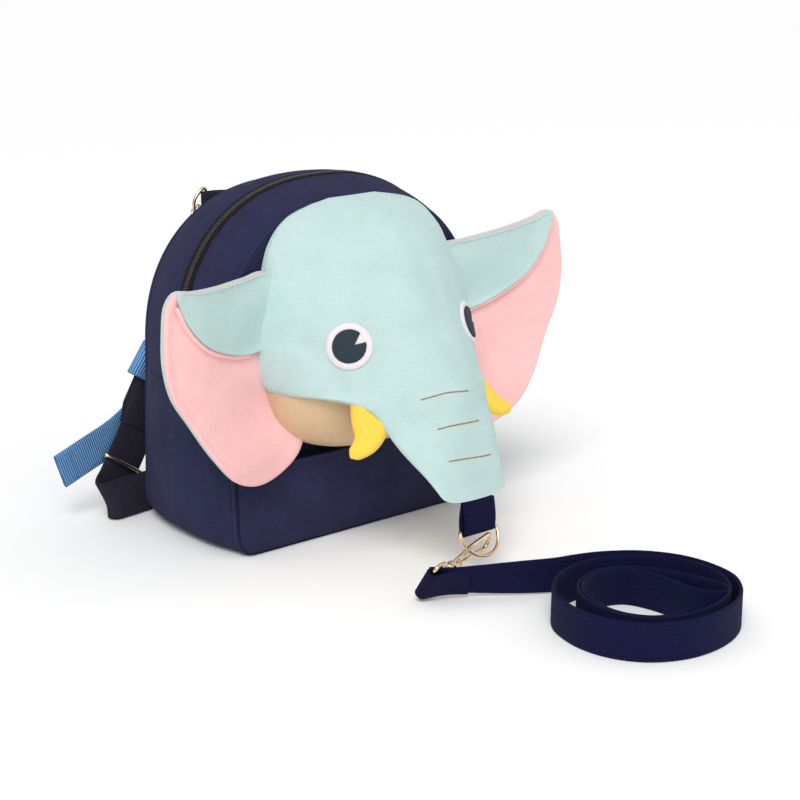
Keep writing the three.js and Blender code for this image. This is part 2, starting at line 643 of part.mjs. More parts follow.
// Lead: places of the coiled webbing's middle line, as shares of COIL_RADIUS from the coil's middle
const COIL_PATH = [
  [-0.246, 1.228], [0.263, 1.05], [0.68, 0.755], [0.93, 0.36], [0.99, 0], [0.93, -0.4], [0.6, -0.79],
  [0.088, -0.974], [-0.439, -0.93], [-0.842, -0.667], [-1.035, -0.281], [-1.053, 0.07], [-0.912, 0.509],
  [-0.526, 0.833], [-0.018, 0.925], [0.42, 0.785], [0.72, 0.495], [0.89, 0.07], [0.83, -0.34],
  [0.55, -0.675], [0.088, -0.833], [-0.439, -0.772], [-0.719, -0.561], [-0.842, -0.175], [-0.772, 0.193],
  [-0.614, 0.456], [-0.281, 0.623], [0.035, 0.614], [0.298, 0.404], [0.509, 0.035], [0.623, -0.316],
];
const LOOP_FOLD_PATH = [
  [0.655, -0.5], [0.632, -0.6], [0.535, -0.655], [0.39, -0.56], [0.3, -0.335], [0.3, -0.08], [0.27, 0.2],
];

function leadPath() {
  const spot = ([x, y]) => [COIL_X + x * COIL_RADIUS, COIL_Y + y * COIL_RADIUS, 0];
  const layerGap = (WEB + GAP) / 2;
  const level = unit(sub(spot(COIL_PATH[0]), [HOOK_END[0], HOOK_END[1], 0]));
  let out = unit(cross(barRise, level));
  if (out[1] > 0) out = mul(out, -1);
  const wrap = STEM_DIAMETER / 2 + 3 * GAP + WEB / 2;
  const roundBar = unit(sub(level, mul(barRise, dot(level, barRise))));
  const around = (a) => add(HOOK_END, add(mul(roundBar, -wrap * Math.sin(a)), mul(out, wrap * Math.cos(a))));
  const end = (share, side) => add(HOOK_END, add(mul(level, share * LOOP_FOLD), mul(out, side * layerGap)));
  const fold = [end(1, 1), end(0.6, 1), end(0.35, 1.6), ...range(0, Math.PI, 7).map(around),
    end(0.35, -1.6), end(0.6, -1)];
  const run = COIL_PATH.map(spot);
  const coil = curve(run, 260);
  const joint = nearest(coil, spot([-0.14, -0.82]), 150);
  const back = nearest(coil, spot([0.16, 0.53]), 200);
  const inner = [];
  for (let i = back; i >= joint; i -= 6) {
    const t = unit(sub(coil[i + 1], coil[i - 1]));
    inner.push(add(coil[i], [t[1] * LAYER_PITCH, -t[0] * LAYER_PITCH, 0]));
  }
  const flat = [...fold.map((p) => [p[0], p[1], p[2]]), ...coil.filter((_, i) => i % 5 === 0),
    ...LOOP_FOLD_PATH.map(spot), ...inner];
  return { points: flat, foldCount: fold.length };
}

function nearest(path, spot, from) {
  let best = from;
  for (let i = from; i < path.length - 1; i++) {
    if (Math.hypot(...sub(path[i], spot)) < Math.hypot(...sub(path[best], spot))) best = i;
  }
  return best;
}

// The same path with a point wherever it has turned or gone far enough
function respaced(path, maxTurn, maxStep) {
  const kept = [path[0]];
  let turn = 0;
  let step = 0;
  for (let i = 1; i < path.length - 1; i++) {
    const before = unit(sub(path[i], path[i - 1]));
    const after = unit(sub(path[i + 1], path[i]));
    turn += Math.acos(Math.min(1, dot(before, after)));
    step += Math.hypot(...sub(path[i], path[i - 1]));
    if (turn > maxTurn || step > maxStep) {
      kept.push(path[i]);
      turn = 0;
      step = 0;
    }
  }
  return [...kept, path[path.length - 1]];
}

function lead() {
  const { points, foldCount } = leadPath();
  const far = (p) => Math.hypot(p[0] - HOOK_END[0], p[1] - HOOK_END[1]) / COIL_RADIUS;
  const wide = (p) => {
    const lean = smooth(far(p) / 1.6);
    return unit([mix(barRise[0], 0, lean), mix(barRise[1], 0, lean), mix(barRise[2], 1, lean)]);
  };
  const rest = (p) => (WEB_WIDTH / 2) * wide(p)[2] + (WEB / 2) * Math.hypot(wide(p)[0], wide(p)[1]);
  const lift = HOOK_END[2] - rest(HOOK_END);
  const level = points.map((p, i) => (
    i < foldCount ? p : [p[0], p[1], rest(p) + GAP / 2 + lift * (1 - smooth((far(p) - 0.3) / 1.1))]));
  const path = respaced(curve(level, 2600), 0.2, 8);
  const width = (t) => WEB_WIDTH * mix(FOLD_SQUEEZE, 1, smooth(t / 0.3));
  return ribbon(path, (_, i) => wide(path[i]), width, WEB);
}

// Shoulder strap: places of its middle line on the left side, in millimetres from the origin
const STRAP_PATH = [
  [-66, 55, BAG_HEIGHT - 44], [-60, 61, BAG_HEIGHT - 61], [-54, 69, 158], [-58, 76, 132], [-68, 79, 112], [-78, 79.5, 97],
  [-88, 79.5, 80], [-101, 79, 58],
];
const LOWER_PATH = [
  [-101, 79, 56], [-110, 78, 41], [-122, 75, 25], [-133, 69, 17.5], [-137, 63.5, 16], [-133, 60.4, 15.6],
  [-122, 60.4, 15.6], [-109, 61.9, 15.6], [-98, 62.8, 15.6],
];

const across2 = (from, to, bend = 1) => (t) => unit(from.map((v, i) => mix(v, to[i], smooth(t) ** bend)));
const strapAcross = across2([-0.97, 0, 0.15], [-0.87, 0, 0.49]);

function onSide(body, side) {
  return side === 'left' ? body : fixWinding({ points: body.points.map(mirrorX), faces: body.faces });
}

function shoulderStrap() {
  const path = curve(STRAP_PATH, 16);
  const width = (t) => mix(TOP_WEB_WIDTH + 2, STRAP_WIDTH, smooth(t / 0.18)) * mix(1, 0.8, smooth((t - 0.9) / 0.1));
  const thick = (t) => mix(2.4, STRAP_PAD, smooth(t / 0.12)) * mix(1, 0.5, smooth((t - 0.93) / 0.07));
  return ribbon(path, strapAcross, width, thick, false, true);
}

function lowerStrap() {
  const path = curve(LOWER_PATH.map((p, i) => (i === 0 ? add(p, [0, 0, -2 * GAP]) : p)), 28);
  return ribbon(path, across2([-0.87, 0, 0.49], [0, 0.05, 1], 0.8), LOWER_WIDTH, LOWER_WEB);
}

// A rounded rectangle of webbing or wire round a strap at a share of its path
function loopRound(path, at, across, spanWide, spanDeep, count) {
  const i = Math.round(at * (path.length - 1));
  const along = tangents(path, false)[i];
  const wide = across(at);
  const w = unit(sub(wide, mul(along, dot(wide, along))));
  const n = unit(cross(along, w));
  const r = Math.min(spanWide, spanDeep) * 0.42;
  const corners = [[1, 1], [-1, 1], [-1, -1], [1, -1]];
  const points = corners.flatMap(([a, b], k) => range(0, Math.PI / 2, 3).map((turn) => {
    const angle = k * (Math.PI / 2) + turn;
    return add(path[i], add(mul(w, a * (spanWide / 2 - r) + r * Math.cos(angle)),
      mul(n, b * (spanDeep / 2 - r) + r * Math.sin(angle))));
  }));
  return { points: curve(points, count, true).slice(0, -1), along };
}

function chestSleeve() {
  const path = curve(STRAP_PATH, 34);
  const { points, along } = loopRound(path, 0.69, strapAcross,
    STRAP_WIDTH + SLEEVE_WEB + 6 * GAP + 4, STRAP_PAD + SLEEVE_WEB + 4 * GAP + 1, 24);
  return ribbon(points, () => along, SLEEVE_HEIGHT, SLEEVE_WEB, true);
}

const BAND_PATH = [
  [-76, 88.2, 96], [-80, 90.5, 80], [-91, 91, 65.5], [-112, 86.5, 54.5], [-140, 81.5, 46], [-164, 78, 38.5],
];

function chestBand() {
  const path = curve(BAND_PATH, 20);
  const length = path.slice(1).reduce((sum, p, i) => sum + Math.hypot(...sub(p, path[i])), 0);
  const thick = (t) => BAND_WEB * mix(1, 2.1, smooth((t - 1 + BAND_FOLD / length) / 0.03));
  return ribbon(path, across2([-0.82, 0, 0.57], [-0.37, 0, 0.93]), BAND_WIDTH, thick);
}

function slide() {
  const path = curve(LOWER_PATH, 44);
  const { points } = loopRound(path, 0.26, across2([-0.87, 0, 0.49], [0, 0.05, 1], 0.8),
    LOWER_WIDTH + SLIDE_WIRE + 5 * GAP, LOWER_WEB + SLIDE_WIRE + 5 * GAP, 24);
  return wire(points, SLIDE_WIRE, true, 6);
}

// Top tab, ring and clip on the back, from the back panel's top seam to the strap
const TOP_BAR = [-52, 53.5, BAG_HEIGHT - 23];

function topTab() {
  const r = TOP_WIRE / 2 + 1.6 * GAP + TAB_WEB / 2;
  const behind = rearPlane(TOP_BAR[2]) + GAP + TAB_WEB / 2 + TOP_WEB_WIDTH * REAR_LEAN;
  const near = [[-27, behind, TOP_BAR[2]], [-35, behind + 0.3, TOP_BAR[2]], [-43, TOP_BAR[1] - r - 1.2, TOP_BAR[2]],
    [-49, TOP_BAR[1] - r, TOP_BAR[2]]];
  const turn = range(0, Math.PI, 7).map((a) => (
    [TOP_BAR[0] - r * Math.sin(a), TOP_BAR[1] - r * Math.cos(a), TOP_BAR[2]]));
  const far = [[-49, TOP_BAR[1] + r, TOP_BAR[2]], [-42, TOP_BAR[1] + r - 1, TOP_BAR[2]],
    [-34, behind + TAB_WEB + GAP + 0.6, TOP_BAR[2]]];
  return ribbon(curve([...near, ...turn, ...far], 24), () => [0, 0, 1], TOP_WEB_WIDTH, TAB_WEB);
}

function topRing() {
  const h = (TOP_RING + TOP_WIRE) / 2;
  const [x, y, z] = TOP_BAR;
  return wire(curve([[x, y, z - 0.85 * h], [x, y, z], [x, y, z + 0.85 * h], [x - 1, y, z + h],
    [x - 5, y, z + 0.8 * h], [x - 9, y, z + 0.35 * h], [x - 10, y, z - 0.1 * h], [x - 8, y, z - 0.6 * h],
    [x - 4, y, z - 0.95 * h], [x - 1, y, z - h]], 24, true).slice(0, -1), TOP_WIRE, true, 6);
}

function topClip() {
  const start = [TOP_BAR[0] - 6.2, TOP_BAR[1], TOP_BAR[2] - 1];
  const strapTop = curve(STRAP_PATH, 16);
  const down = unit(sub(strapTop[1], strapTop[0]));
  const end = sub(strapTop[0], mul(down, TOP_WIRE / 2 + 1.5 * GAP));
  const side = unit(sub(mul(down, dot(strapAcross(0), down)), strapAcross(0)));
  const along = unit(sub(end, start));
  const length = Math.hypot(...sub(end, start));
  const across = unit(cross(along, [0.9, 0, 0.3]));
  const half = (CLIP_WIDTH - TOP_WIRE) / 2;
  const at = (t, b) => add(start, add(mul(along, t * length), mul(across, b * half)));
  const loop = wire(curve([at(0, 0), at(0.12, 0.8), at(0.3, 0.9), at(0.48, 0.3), at(0.5, 0), at(0.48, -0.3),
    at(0.3, -0.9), at(0.12, -0.8)], 16, true).slice(0, -1), TOP_WIRE, true, 6);
  const barrel = wire([at(0.46, 0), at(0.76, 0)], TOP_WIRE * 2, false, 8);
  const wideBar = wire([add(at(1, 0), mul(side, -TOP_WEB_WIDTH / 2)), add(at(1, 0), mul(side, TOP_WEB_WIDTH / 2))],
    TOP_WIRE, false, 6);
  const arms = wire(curve([add(at(1, 0), mul(side, -TOP_WEB_WIDTH / 2.2)), add(at(0.86, 0), mul(side, -TOP_WEB_WIDTH / 3)),
    at(0.74, 0), add(at(0.86, 0), mul(side, TOP_WEB_WIDTH / 3)), add(at(1, 0), mul(side, TOP_WEB_WIDTH / 2.2))], 10),
  TOP_WIRE, false, 6);
  return tubeUnion([loop, barrel, wideBar, arms]);
}

function zipSlider() {
  const share = 1 - zipEndShare - 12 * sideGap * SLIDER_LENGTH / 4;
  const length = SLIDER_LENGTH * sideGap / GAP;
  const half = SLIDER_WIDTH / 2 / depthSpan;
  const low = -ZIP_CHAIN_RISE - GAP;
  const block = (a, b, w, from, to) => {
    const grid = (inset) => range(a, b, 3).map((s) => range(ZIP_PLACE - w, ZIP_PLACE + w, 2).map((d) => (
      gussetPoint(s, d, inset))));
    return sheetSolid(grid(-to), grid(-from));
  };
  const foot = block(share - length, share, half, -low, -low + SLIDER_RISE);
  const pull = block(share - length * 0.5, share + (PULL_LENGTH / SLIDER_LENGTH) * length * 0.6, half * 0.5,
    -low + SLIDER_RISE - 1.2, -low + SLIDER_RISE + 0.6);
  return tubeUnion([foot, pull]);
}

const GROUP = new THREE.Group();
GROUP.name = 'toddler_harness_backpack';

const FINISH = {
  navy: { color: 0x2e3054, roughness: 0.92, metalness: 0 },
  web: { color: 0x171850, roughness: 0.9, metalness: 0 },
  strap: { color: 0x1b1d3a, roughness: 0.95, metalness: 0 },
  blue: { color: 0x2b72b0, roughness: 0.85, metalness: 0 },
  mint: { color: 0xcbe6e1, roughness: 0.95, metalness: 0 },
  pink: { color: 0xfcc6c6, roughness: 0.95, metalness: 0 },
  tan: { color: 0xd6b896, roughness: 0.95, metalness: 0 },
  yellow: { color: 0xffd65c, roughness: 0.9, metalness: 0 },
  white: { color: 0xf6eef5, roughness: 0.95, metalness: 0 },
  slate: { color: 0x333f48, roughness: 0.9, metalness: 0 },
  tape: { color: 0x2a2a33, roughness: 0.9, metalness: 0 },
  teeth: { color: 0x4a4345, roughness: 0.5, metalness: 0 },
  gold: { color: 0xe3c7a0, roughness: 0.22, metalness: 1 },
};

function put(name, body, finish) {
  const flat = new Float32Array(body.faces.length * 9);
  body.faces.forEach((face, i) => face.forEach((k, j) => flat.set(body.points[k], i * 9 + j * 3)));
  const geometry = new THREE.BufferGeometry();
  geometry.setAttribute('position', new THREE.BufferAttribute(flat, 3));
  geometry.computeVertexNormals();
  const mesh = new THREE.Mesh(geometry, new THREE.MeshStandardMaterial(FINISH[finish]));
  mesh.name = name;
  GROUP.add(mesh);
}

put('back_panel', panel(rearPlane, -CLOTH), 'navy');
put('front_panel', panel(frontPlane, CLOTH), 'navy');
put('gusset_lower', gussetBand(range(-zipEndShare + sideGap, zipEndShare - sideGap, 28), range(0, 1, 6), 0, CLOTH), 'navy');
put('gusset_front', gussetBand(upperShares, range(0, ZIP_PLACE - tapeHalf - depthGap, 3), 0, CLOTH), 'navy');
put('gusset_rear', gussetBand(upperShares, range(ZIP_PLACE + tapeHalf + depthGap, 1, 4), 0, CLOTH), 'navy');
put('zip_tape', gussetBand(upperShares, range(ZIP_PLACE - tapeHalf, ZIP_PLACE + tapeHalf, 1), 0.4, CLOTH), 'tape');
put('zip_chain', gussetBand(upperShares, range(ZIP_PLACE - chainHalf, ZIP_PLACE + chainHalf, 1),
  -ZIP_CHAIN_RISE, 0.4 - GAP), 'teeth');
put('front_pocket', frontPocket(), 'navy');
put('head', headBody, 'mint');
put('chin', chin, 'tan');
for (const side of ['left', 'right']) {
  const sign = side === 'left' ? -1 : 1;
  put(`tusk_${side}`, tusk(side), 'yellow');
  put(`eye_${side}`, patch(eyeShape(), sign, GAP, GAP + PATCH), 'white');
  put(`pupil_${side}`, patch(pupilShape(), sign, 2 * GAP + PATCH, 2 * GAP + 2 * PATCH), 'slate');
}
for (const side of ['left', 'right']) {
  const rear = earLayer(EAR_OUTLINE, side, 0, EAR_LAYER, 38);
  const lining = earLayer(EAR_OUTLINE, side, EAR_LAYER + GAP, 2 * EAR_LAYER, 38);
  const fold = earLayer(EAR_FOLD, side, 2 * EAR_LAYER + GAP, 3 * EAR_LAYER, 26);
  put(`ear_back_${side}`, cut(rear, headRoom, chinRoom), 'mint');
  put(`ear_lining_${side}`, cut(lining, headRoom, chinRoom), 'pink');
  put(`ear_fold_${side}`, cut(fold, headRoom, chinRoom, grown(lining, GAP), grown(rear, GAP)), 'mint');
}

put('zip_slider', zipSlider(), 'gold');
put('trunk_tab', trunkTab(), 'web');
put('d_ring', dRing(), 'gold');
put('hook_body', hookBody(), 'gold');
put('hook_gate', hookGate(), 'gold');
put('hook_eye', swivelEye(), 'gold');
put('lead', lead(), 'web');
for (const side of ['left', 'right']) {
  put(`shoulder_strap_${side}`, onSide(shoulderStrap(), side), 'strap');
  put(`lower_strap_${side}`, onSide(lowerStrap(), side), 'strap');
  put(`slide_${side}`, onSide(slide(), side), 'gold');
  put(`chest_sleeve_${side}`, onSide(chestSleeve(), side), 'blue');
  put(`chest_band_${side}`, onSide(chestBand(), side), 'blue');
  put(`top_tab_${side}`, onSide(topTab(), side), 'strap');
  put(`top_ring_${side}`, onSide(topRing(), side), 'gold');
  put(`top_clip_${side}`, onSide(topClip(), side), 'gold');
}

export default GROUP;
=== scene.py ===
"""Toddler backpack with a stuffed elephant head, shoulder straps and a clip-on walking lead.

Sizes are named in millimetres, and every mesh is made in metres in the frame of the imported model:
the floor is at height zero under the bag, the front of the bag faces -Y and +X is the viewer's right.
"""

from __future__ import annotations

import json
import logging
import math
from dataclasses import dataclass, field
from enum import Enum
from typing import Callable, Sequence

import bpy
import numpy as np
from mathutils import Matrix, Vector, noise
from mathutils.bvhtree import BVHTree

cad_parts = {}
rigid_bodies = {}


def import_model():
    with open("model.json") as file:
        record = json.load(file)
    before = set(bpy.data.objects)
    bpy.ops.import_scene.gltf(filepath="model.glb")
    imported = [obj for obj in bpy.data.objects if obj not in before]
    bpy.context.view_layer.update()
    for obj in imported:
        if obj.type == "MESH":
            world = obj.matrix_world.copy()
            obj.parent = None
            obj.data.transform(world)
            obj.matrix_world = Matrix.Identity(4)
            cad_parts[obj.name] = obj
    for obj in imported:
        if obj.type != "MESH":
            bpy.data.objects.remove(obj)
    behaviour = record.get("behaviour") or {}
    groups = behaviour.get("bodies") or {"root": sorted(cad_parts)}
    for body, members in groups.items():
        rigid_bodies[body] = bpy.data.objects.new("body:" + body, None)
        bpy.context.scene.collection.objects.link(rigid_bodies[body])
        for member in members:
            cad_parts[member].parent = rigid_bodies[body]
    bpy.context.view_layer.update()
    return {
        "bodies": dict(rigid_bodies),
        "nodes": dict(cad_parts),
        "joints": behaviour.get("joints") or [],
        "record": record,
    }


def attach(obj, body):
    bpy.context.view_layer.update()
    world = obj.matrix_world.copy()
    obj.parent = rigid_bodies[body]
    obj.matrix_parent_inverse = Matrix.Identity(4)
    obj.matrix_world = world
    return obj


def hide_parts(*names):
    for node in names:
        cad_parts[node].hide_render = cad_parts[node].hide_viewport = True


LOG = logging.getLogger("backpack")

MM = 0.001
GAP = 0.35
BAG = "bag"
GATE = "gate"

Point = Sequence[float]
Colour = tuple[int, int, int]
Across = Callable[[float], Point]
Value = Callable[[float], float]
Piece = bpy.types.Object
Socket = bpy.types.NodeSocket


def mix(a: float, b: float, t: float) -> float:
    """Returns the value a share t of the way from a to b."""
    return a + (b - a) * t


def ease(t: float) -> float:
    """Returns t held between 0 and 1, with a soft start and end."""
    c = min(1.0, max(0.0, t))
    return c * c * (3 - 2 * c)


def unit(v: Point) -> np.ndarray:
    """Returns v at length one."""
    v = np.asarray(v, float)
    return v / max(np.linalg.norm(v), 1e-12)


def square_to(v: Point, along: np.ndarray) -> np.ndarray:
    """Returns the unit part of v that is square to a unit direction."""
    v = np.asarray(v, float)
    return unit(v - along * np.dot(v, along))


def ripple(x: float, y: float, z: float, size: float, seed: float = 0.0) -> float:
    """Gives smooth random height between about -1 and 1.

    Args:
        x, y, z: The place, in millimetres.
        size: How wide one ripple is, in millimetres.
        seed: Moves the pattern, so that two pieces differ.

    Returns:
        The height at that place.
    """
    return noise.noise(Vector((x / size + seed, y / size - seed, z / size + 2 * seed)))


def curve(points: Sequence[Point], count: int, closed: bool = False) -> np.ndarray:
    """Runs a smooth curve through points and samples it evenly.

    Args:
        points: The places that the curve passes through.
        count: How many steps the samples make.
        closed: Whether the curve closes on itself.

    Returns:
        count + 1 places along the curve.
    """
    p = np.asarray(points, float)
    if closed:
        ring = np.vstack([p[-1:], p, p[:2]])
    else:
        ring = np.vstack([2 * p[0] - p[1], p, 2 * p[-1] - p[-2]])
    steps = np.linspace(0, 1, 24, endpoint=False)[:, None]
    dense = []
    for a, b, c, d in zip(ring, ring[1:], ring[2:], ring[3:]):
        middle = max(np.linalg.norm(c - b), 1e-8) ** 0.5
        before = max(np.linalg.norm(b - a), 1e-8) ** 0.5
        after = max(np.linalg.norm(d - c), 1e-8) ** 0.5
        start = ((b - a) / before - (c - a) / (before + middle) + (c - b) / middle) * middle
        end = ((c - b) / middle - (d - b) / (middle + after) + (d - c) / after) * middle
        cubic = 2 * b - 2 * c + start + end
        square = -3 * b + 3 * c - 2 * start - end
        dense.append(b + start * steps + square * steps**2 + cubic * steps**3)
    dense.append(ring[-2][None, :])
    return evenly(np.vstack(dense), count)


def evenly(path: np.ndarray, count: int) -> np.ndarray:
    """Returns count + 1 places spaced evenly along a path."""
    return evenly_vectors(path, path, count)


def length_of(path: np.ndarray) -> float:
    """Returns the length of a path."""
    return float(np.linalg.norm(np.diff(path, axis=0), axis=1).sum())


def tangents(path: np.ndarray, closed: bool = False) -> np.ndarray:
    """Returns the unit direction of a path at each of its places."""
    if closed:
        step = np.roll(path, -1, axis=0) - np.roll(path, 1, axis=0)
    else:
        step = np.gradient(path, axis=0)
    return step / np.linalg.norm(step, axis=1, keepdims=True)


def deselect_all() -> None:
    """Leaves nothing selected, in object mode."""
    if bpy.context.object and bpy.context.object.mode != "OBJECT":
        bpy.ops.object.mode_set(mode="OBJECT")
    bpy.ops.object.select_all(action="DESELECT")


def activate(piece: Piece) -> None:
    """Selects one piece alone and makes it the active one."""
    deselect_all()
    piece.select_set(True)
    bpy.context.view_layer.objects.active = piece


def set_name(piece: Piece, name: str) -> None:
    """Names a piece and its mesh."""
    piece.name = name
    piece.data.name = name


def apply_modifier(piece: Piece, kind: str, **settings: object) -> None:
    """Adds a modifier with some settings to a piece and applies it."""
    activate(piece)
    modifier = piece.modifiers.new(kind.title(), kind)
    for key, value in settings.items():
        setattr(modifier, key, value)
    bpy.ops.object.modifier_apply(modifier=modifier.name)


def surface(
    name: str,
    net: np.ndarray,
    wrap: bool = False,
    capped: bool = False,
    size: tuple[float, float] = (1.0, 1.0),
    wall: float = 0.0,
    inside: Point | None = None,
) -> Piece:
    """Makes a smooth surface from a net of places, with a weave map in metres.

    Args:
        name: The piece's name.
        net: Rows of places, in millimetres.
        wrap: Whether each row closes on itself.
        capped: Whether the first and last rows are closed.
        size: The cloth's size along a row and across the rows, in millimetres.
        wall: The wall's thickness, given inwards, in millimetres. Zero leaves the surface as it is.
        inside: A place on the inner side, for a surface that isn't closed.

    Returns:
        The new object.
    """
    rows = np.asarray(net, float)
    if wrap:
        rows = np.concatenate([rows, rows[:, :1]], axis=1)
    if capped:
        ends = [np.repeat(row.mean(axis=0)[None, None, :], rows.shape[1], axis=1) for row in (rows[0], rows[-1])]
        rows = np.concatenate([ends[0], rows, ends[1]], axis=0)
    tall, wide = rows.shape[:2]
    deselect_all()
    bpy.ops.mesh.primitive_grid_add(x_subdivisions=wide - 1, y_subdivisions=tall - 1, size=1)
    piece = bpy.context.object
    set_name(piece, name)
    mesh = piece.data
    flat = np.empty(len(mesh.vertices) * 3)
    mesh.vertices.foreach_get("co", flat)
    flat = flat.reshape(-1, 3)
    column = np.rint((flat[:, 0] + 0.5) * (wide - 1)).astype(int)
    row = np.rint((flat[:, 1] + 0.5) * (tall - 1)).astype(int)
    mesh.vertices.foreach_set("co", (rows[row, column] * MM).ravel())
    layer = mesh.uv_layers[0]
    layer.name = "Weave"
    places = np.empty(len(layer.data) * 2)
    layer.data.foreach_get("uv", places)
    places = places.reshape(-1, 2) * np.array(size) * MM
    layer.data.foreach_set("uv", places.ravel())
    mesh.update()
    bpy.ops.object.mode_set(mode="EDIT")
    bpy.ops.mesh.select_all(action="SELECT")
    bpy.ops.mesh.remove_doubles(threshold=2e-6)
    if wrap and capped:
        bpy.ops.mesh.normals_make_consistent(inside=False)
    bpy.ops.object.mode_set(mode="OBJECT")
    if inside is not None:
        turn_outwards(piece, inside)
    if wall:
        apply_modifier(piece, "SOLIDIFY", thickness=wall * MM, offset=-1.0, use_even_offset=True)
    activate(piece)
    bpy.ops.object.shade_smooth()
    return piece


def turn_outwards(piece: Piece, inside: Point) -> None:
    """Flips a surface whose faces look mostly towards an inner place."""
    core = Vector(inside) * MM
    outward = sum(face.normal.dot(face.center - core) * face.area for face in piece.data.polygons)
    if outward < 0:
        piece.data.flip_normals()


def face_out(piece: Piece) -> None:
    """Turns all the faces of a closed piece outwards."""
    activate(piece)
    bpy.ops.object.mode_set(mode="EDIT")
    bpy.ops.mesh.select_all(action="SELECT")
    bpy.ops.mesh.normals_make_consistent(inside=False)
    bpy.ops.object.mode_set(mode="OBJECT")


def tube(
    name: str,
    path: np.ndarray,
    diameter: float,
    sides: int = 14,
    closed: bool = False,
    flatten: float = 1.0,
) -> Piece:
    """Makes a round wire or cord along a path, with rounded ends.

    Args:
        name: The piece's name.
        path: The places of its middle line. A closed one doesn't repeat its first place.
        diameter: How thick it is.
        sides: How many sides it has.
        closed: Whether the path closes on itself.
        flatten: How thick it is across the first direction, as a share of the diameter.

    Returns:
        The new object.
    """
    along = tangents(path, closed)
    radius = diameter / 2
    shares = np.ones(len(path))
    if not closed:
        turns = [(0.0, 0.25), (0.5, 0.8)]
        head = [path[0] - along[0] * radius * (0.95 - back) for back, _ in turns]
        tail = [path[-1] + along[-1] * radius * (0.95 - back) for back, _ in reversed(turns)]
        shares = np.array([s for _, s in turns] + [1.0] * len(path) + [s for _, s in reversed(turns)])
        path = np.vstack([head, path, tail])
        along = np.vstack([along[:1], along[:1], along, along[-1:], along[-1:]])
    side = np.array([0.0, 0.0, 1.0]) if abs(along[0][2]) < 0.8 else np.array([0.0, 1.0, 0.0])
    rings = []
    for place, way, share in zip(path, along, shares):
        side = square_to(side, way)
        other = np.cross(way, side)
        angles = np.linspace(0, 2 * math.pi, sides, endpoint=False)
        rings.append(
            [place + radius * share * (flatten * math.cos(a) * side + math.sin(a) * other) for a in angles]
        )
    net = np.array(rings)
    size = (math.pi * diameter, length_of(path))
    if closed:
        net = np.concatenate([net, net[:1]], axis=0)
        piece = surface(name, net, wrap=True, size=size)
        face_out(piece)
        return piece
    return surface(name, net, wrap=True, capped=True, size=size)


def webbing_rings(
    path: np.ndarray,
    across: Across,
    width: Value,
    thick: Value,
    flat_steps: int = 6,
    edge_steps: int = 4,
) -> np.ndarray:
    """Gives the rings of a flat band with round edges.

    Args:
        path: The band's middle line.
        across: The direction of its width at each share of the path.
        width: Its width at each share.
        thick: Its thickness at each share.
        flat_steps: How many steps each flat side has.
        edge_steps: How many steps each round edge has.

    Returns:
        A net with one row for each place of the path.
    """
    along = tangents(path)
    rings = []
    for i, (place, way) in enumerate(zip(path, along)):
        t = i / (len(path) - 1)
        w = square_to(across(t), way)
        n = np.cross(way, w)
        half, deep = width(t) / 2, thick(t) / 2
        straight = half - deep
        section = [(s, deep) for s in np.linspace(straight, -straight, flat_steps + 1)]
        section += [
            (-straight - deep * math.sin(a), deep * math.cos(a))
            for a in np.linspace(0, math.pi, edge_steps + 1)[1:-1]
        ]
        section += [(s, -deep) for s in np.linspace(-straight, straight, flat_steps + 1)]
        section += [
            (straight + deep * math.sin(a), -deep * math.cos(a))
            for a in np.linspace(0, math.pi, edge_steps + 1)[1:-1]
        ]
        rings.append([place + a * w + b * n for a, b in section])
    return np.array(rings)


def constant(value: float) -> Value:
    """Returns a function that always gives one value."""
    return lambda _: value


def webbing(
    name: str,
    path: np.ndarray,
    across: Across,
    width: float | Value,
    thick: float | Value,
) -> Piece:
    """Makes a band of webbing along a path; see webbing_rings."""
    width = width if callable(width) else constant(width)
    thick = thick if callable(thick) else constant(thick)
    net = webbing_rings(path, across, width, thick)
    return surface(name, net, wrap=True, capped=True, size=(2 * width(0.5), length_of(path)))


def padded_band(
    name: str,
    path: np.ndarray,
    across: Across,
    width: Value,
    thick: Value,
    seed: float,
) -> Piece:
    """Makes a padded strap: full in the middle, thin and bound along its edges."""
    along = tangents(path)
    rings = []
    for i, (place, way) in enumerate(zip(path, along)):
        t = i / (len(path) - 1)
        w = square_to(across(t), way)
        n = np.cross(way, w)
        half, deep = width(t) / 2, thick(t) / 2
        ring = []
        for a in np.linspace(0, 2 * math.pi, 40, endpoint=False):
            c, s = math.cos(a), math.sin(a)
            side = math.copysign(abs(c) ** 0.55, c)
            lift = math.copysign(abs(s) ** 0.7, s) * (1 - 0.55 * ease((abs(side) - 0.72) / 0.2))
            lift += 0.06 * ripple(*(place + side * half * w), 16, seed) * abs(s)
            ring.append(place + side * half * w + lift * deep * n)
        rings.append(ring)
    return surface(name, np.array(rings), wrap=True, capped=True, size=(2 * width(0.5), length_of(path)))


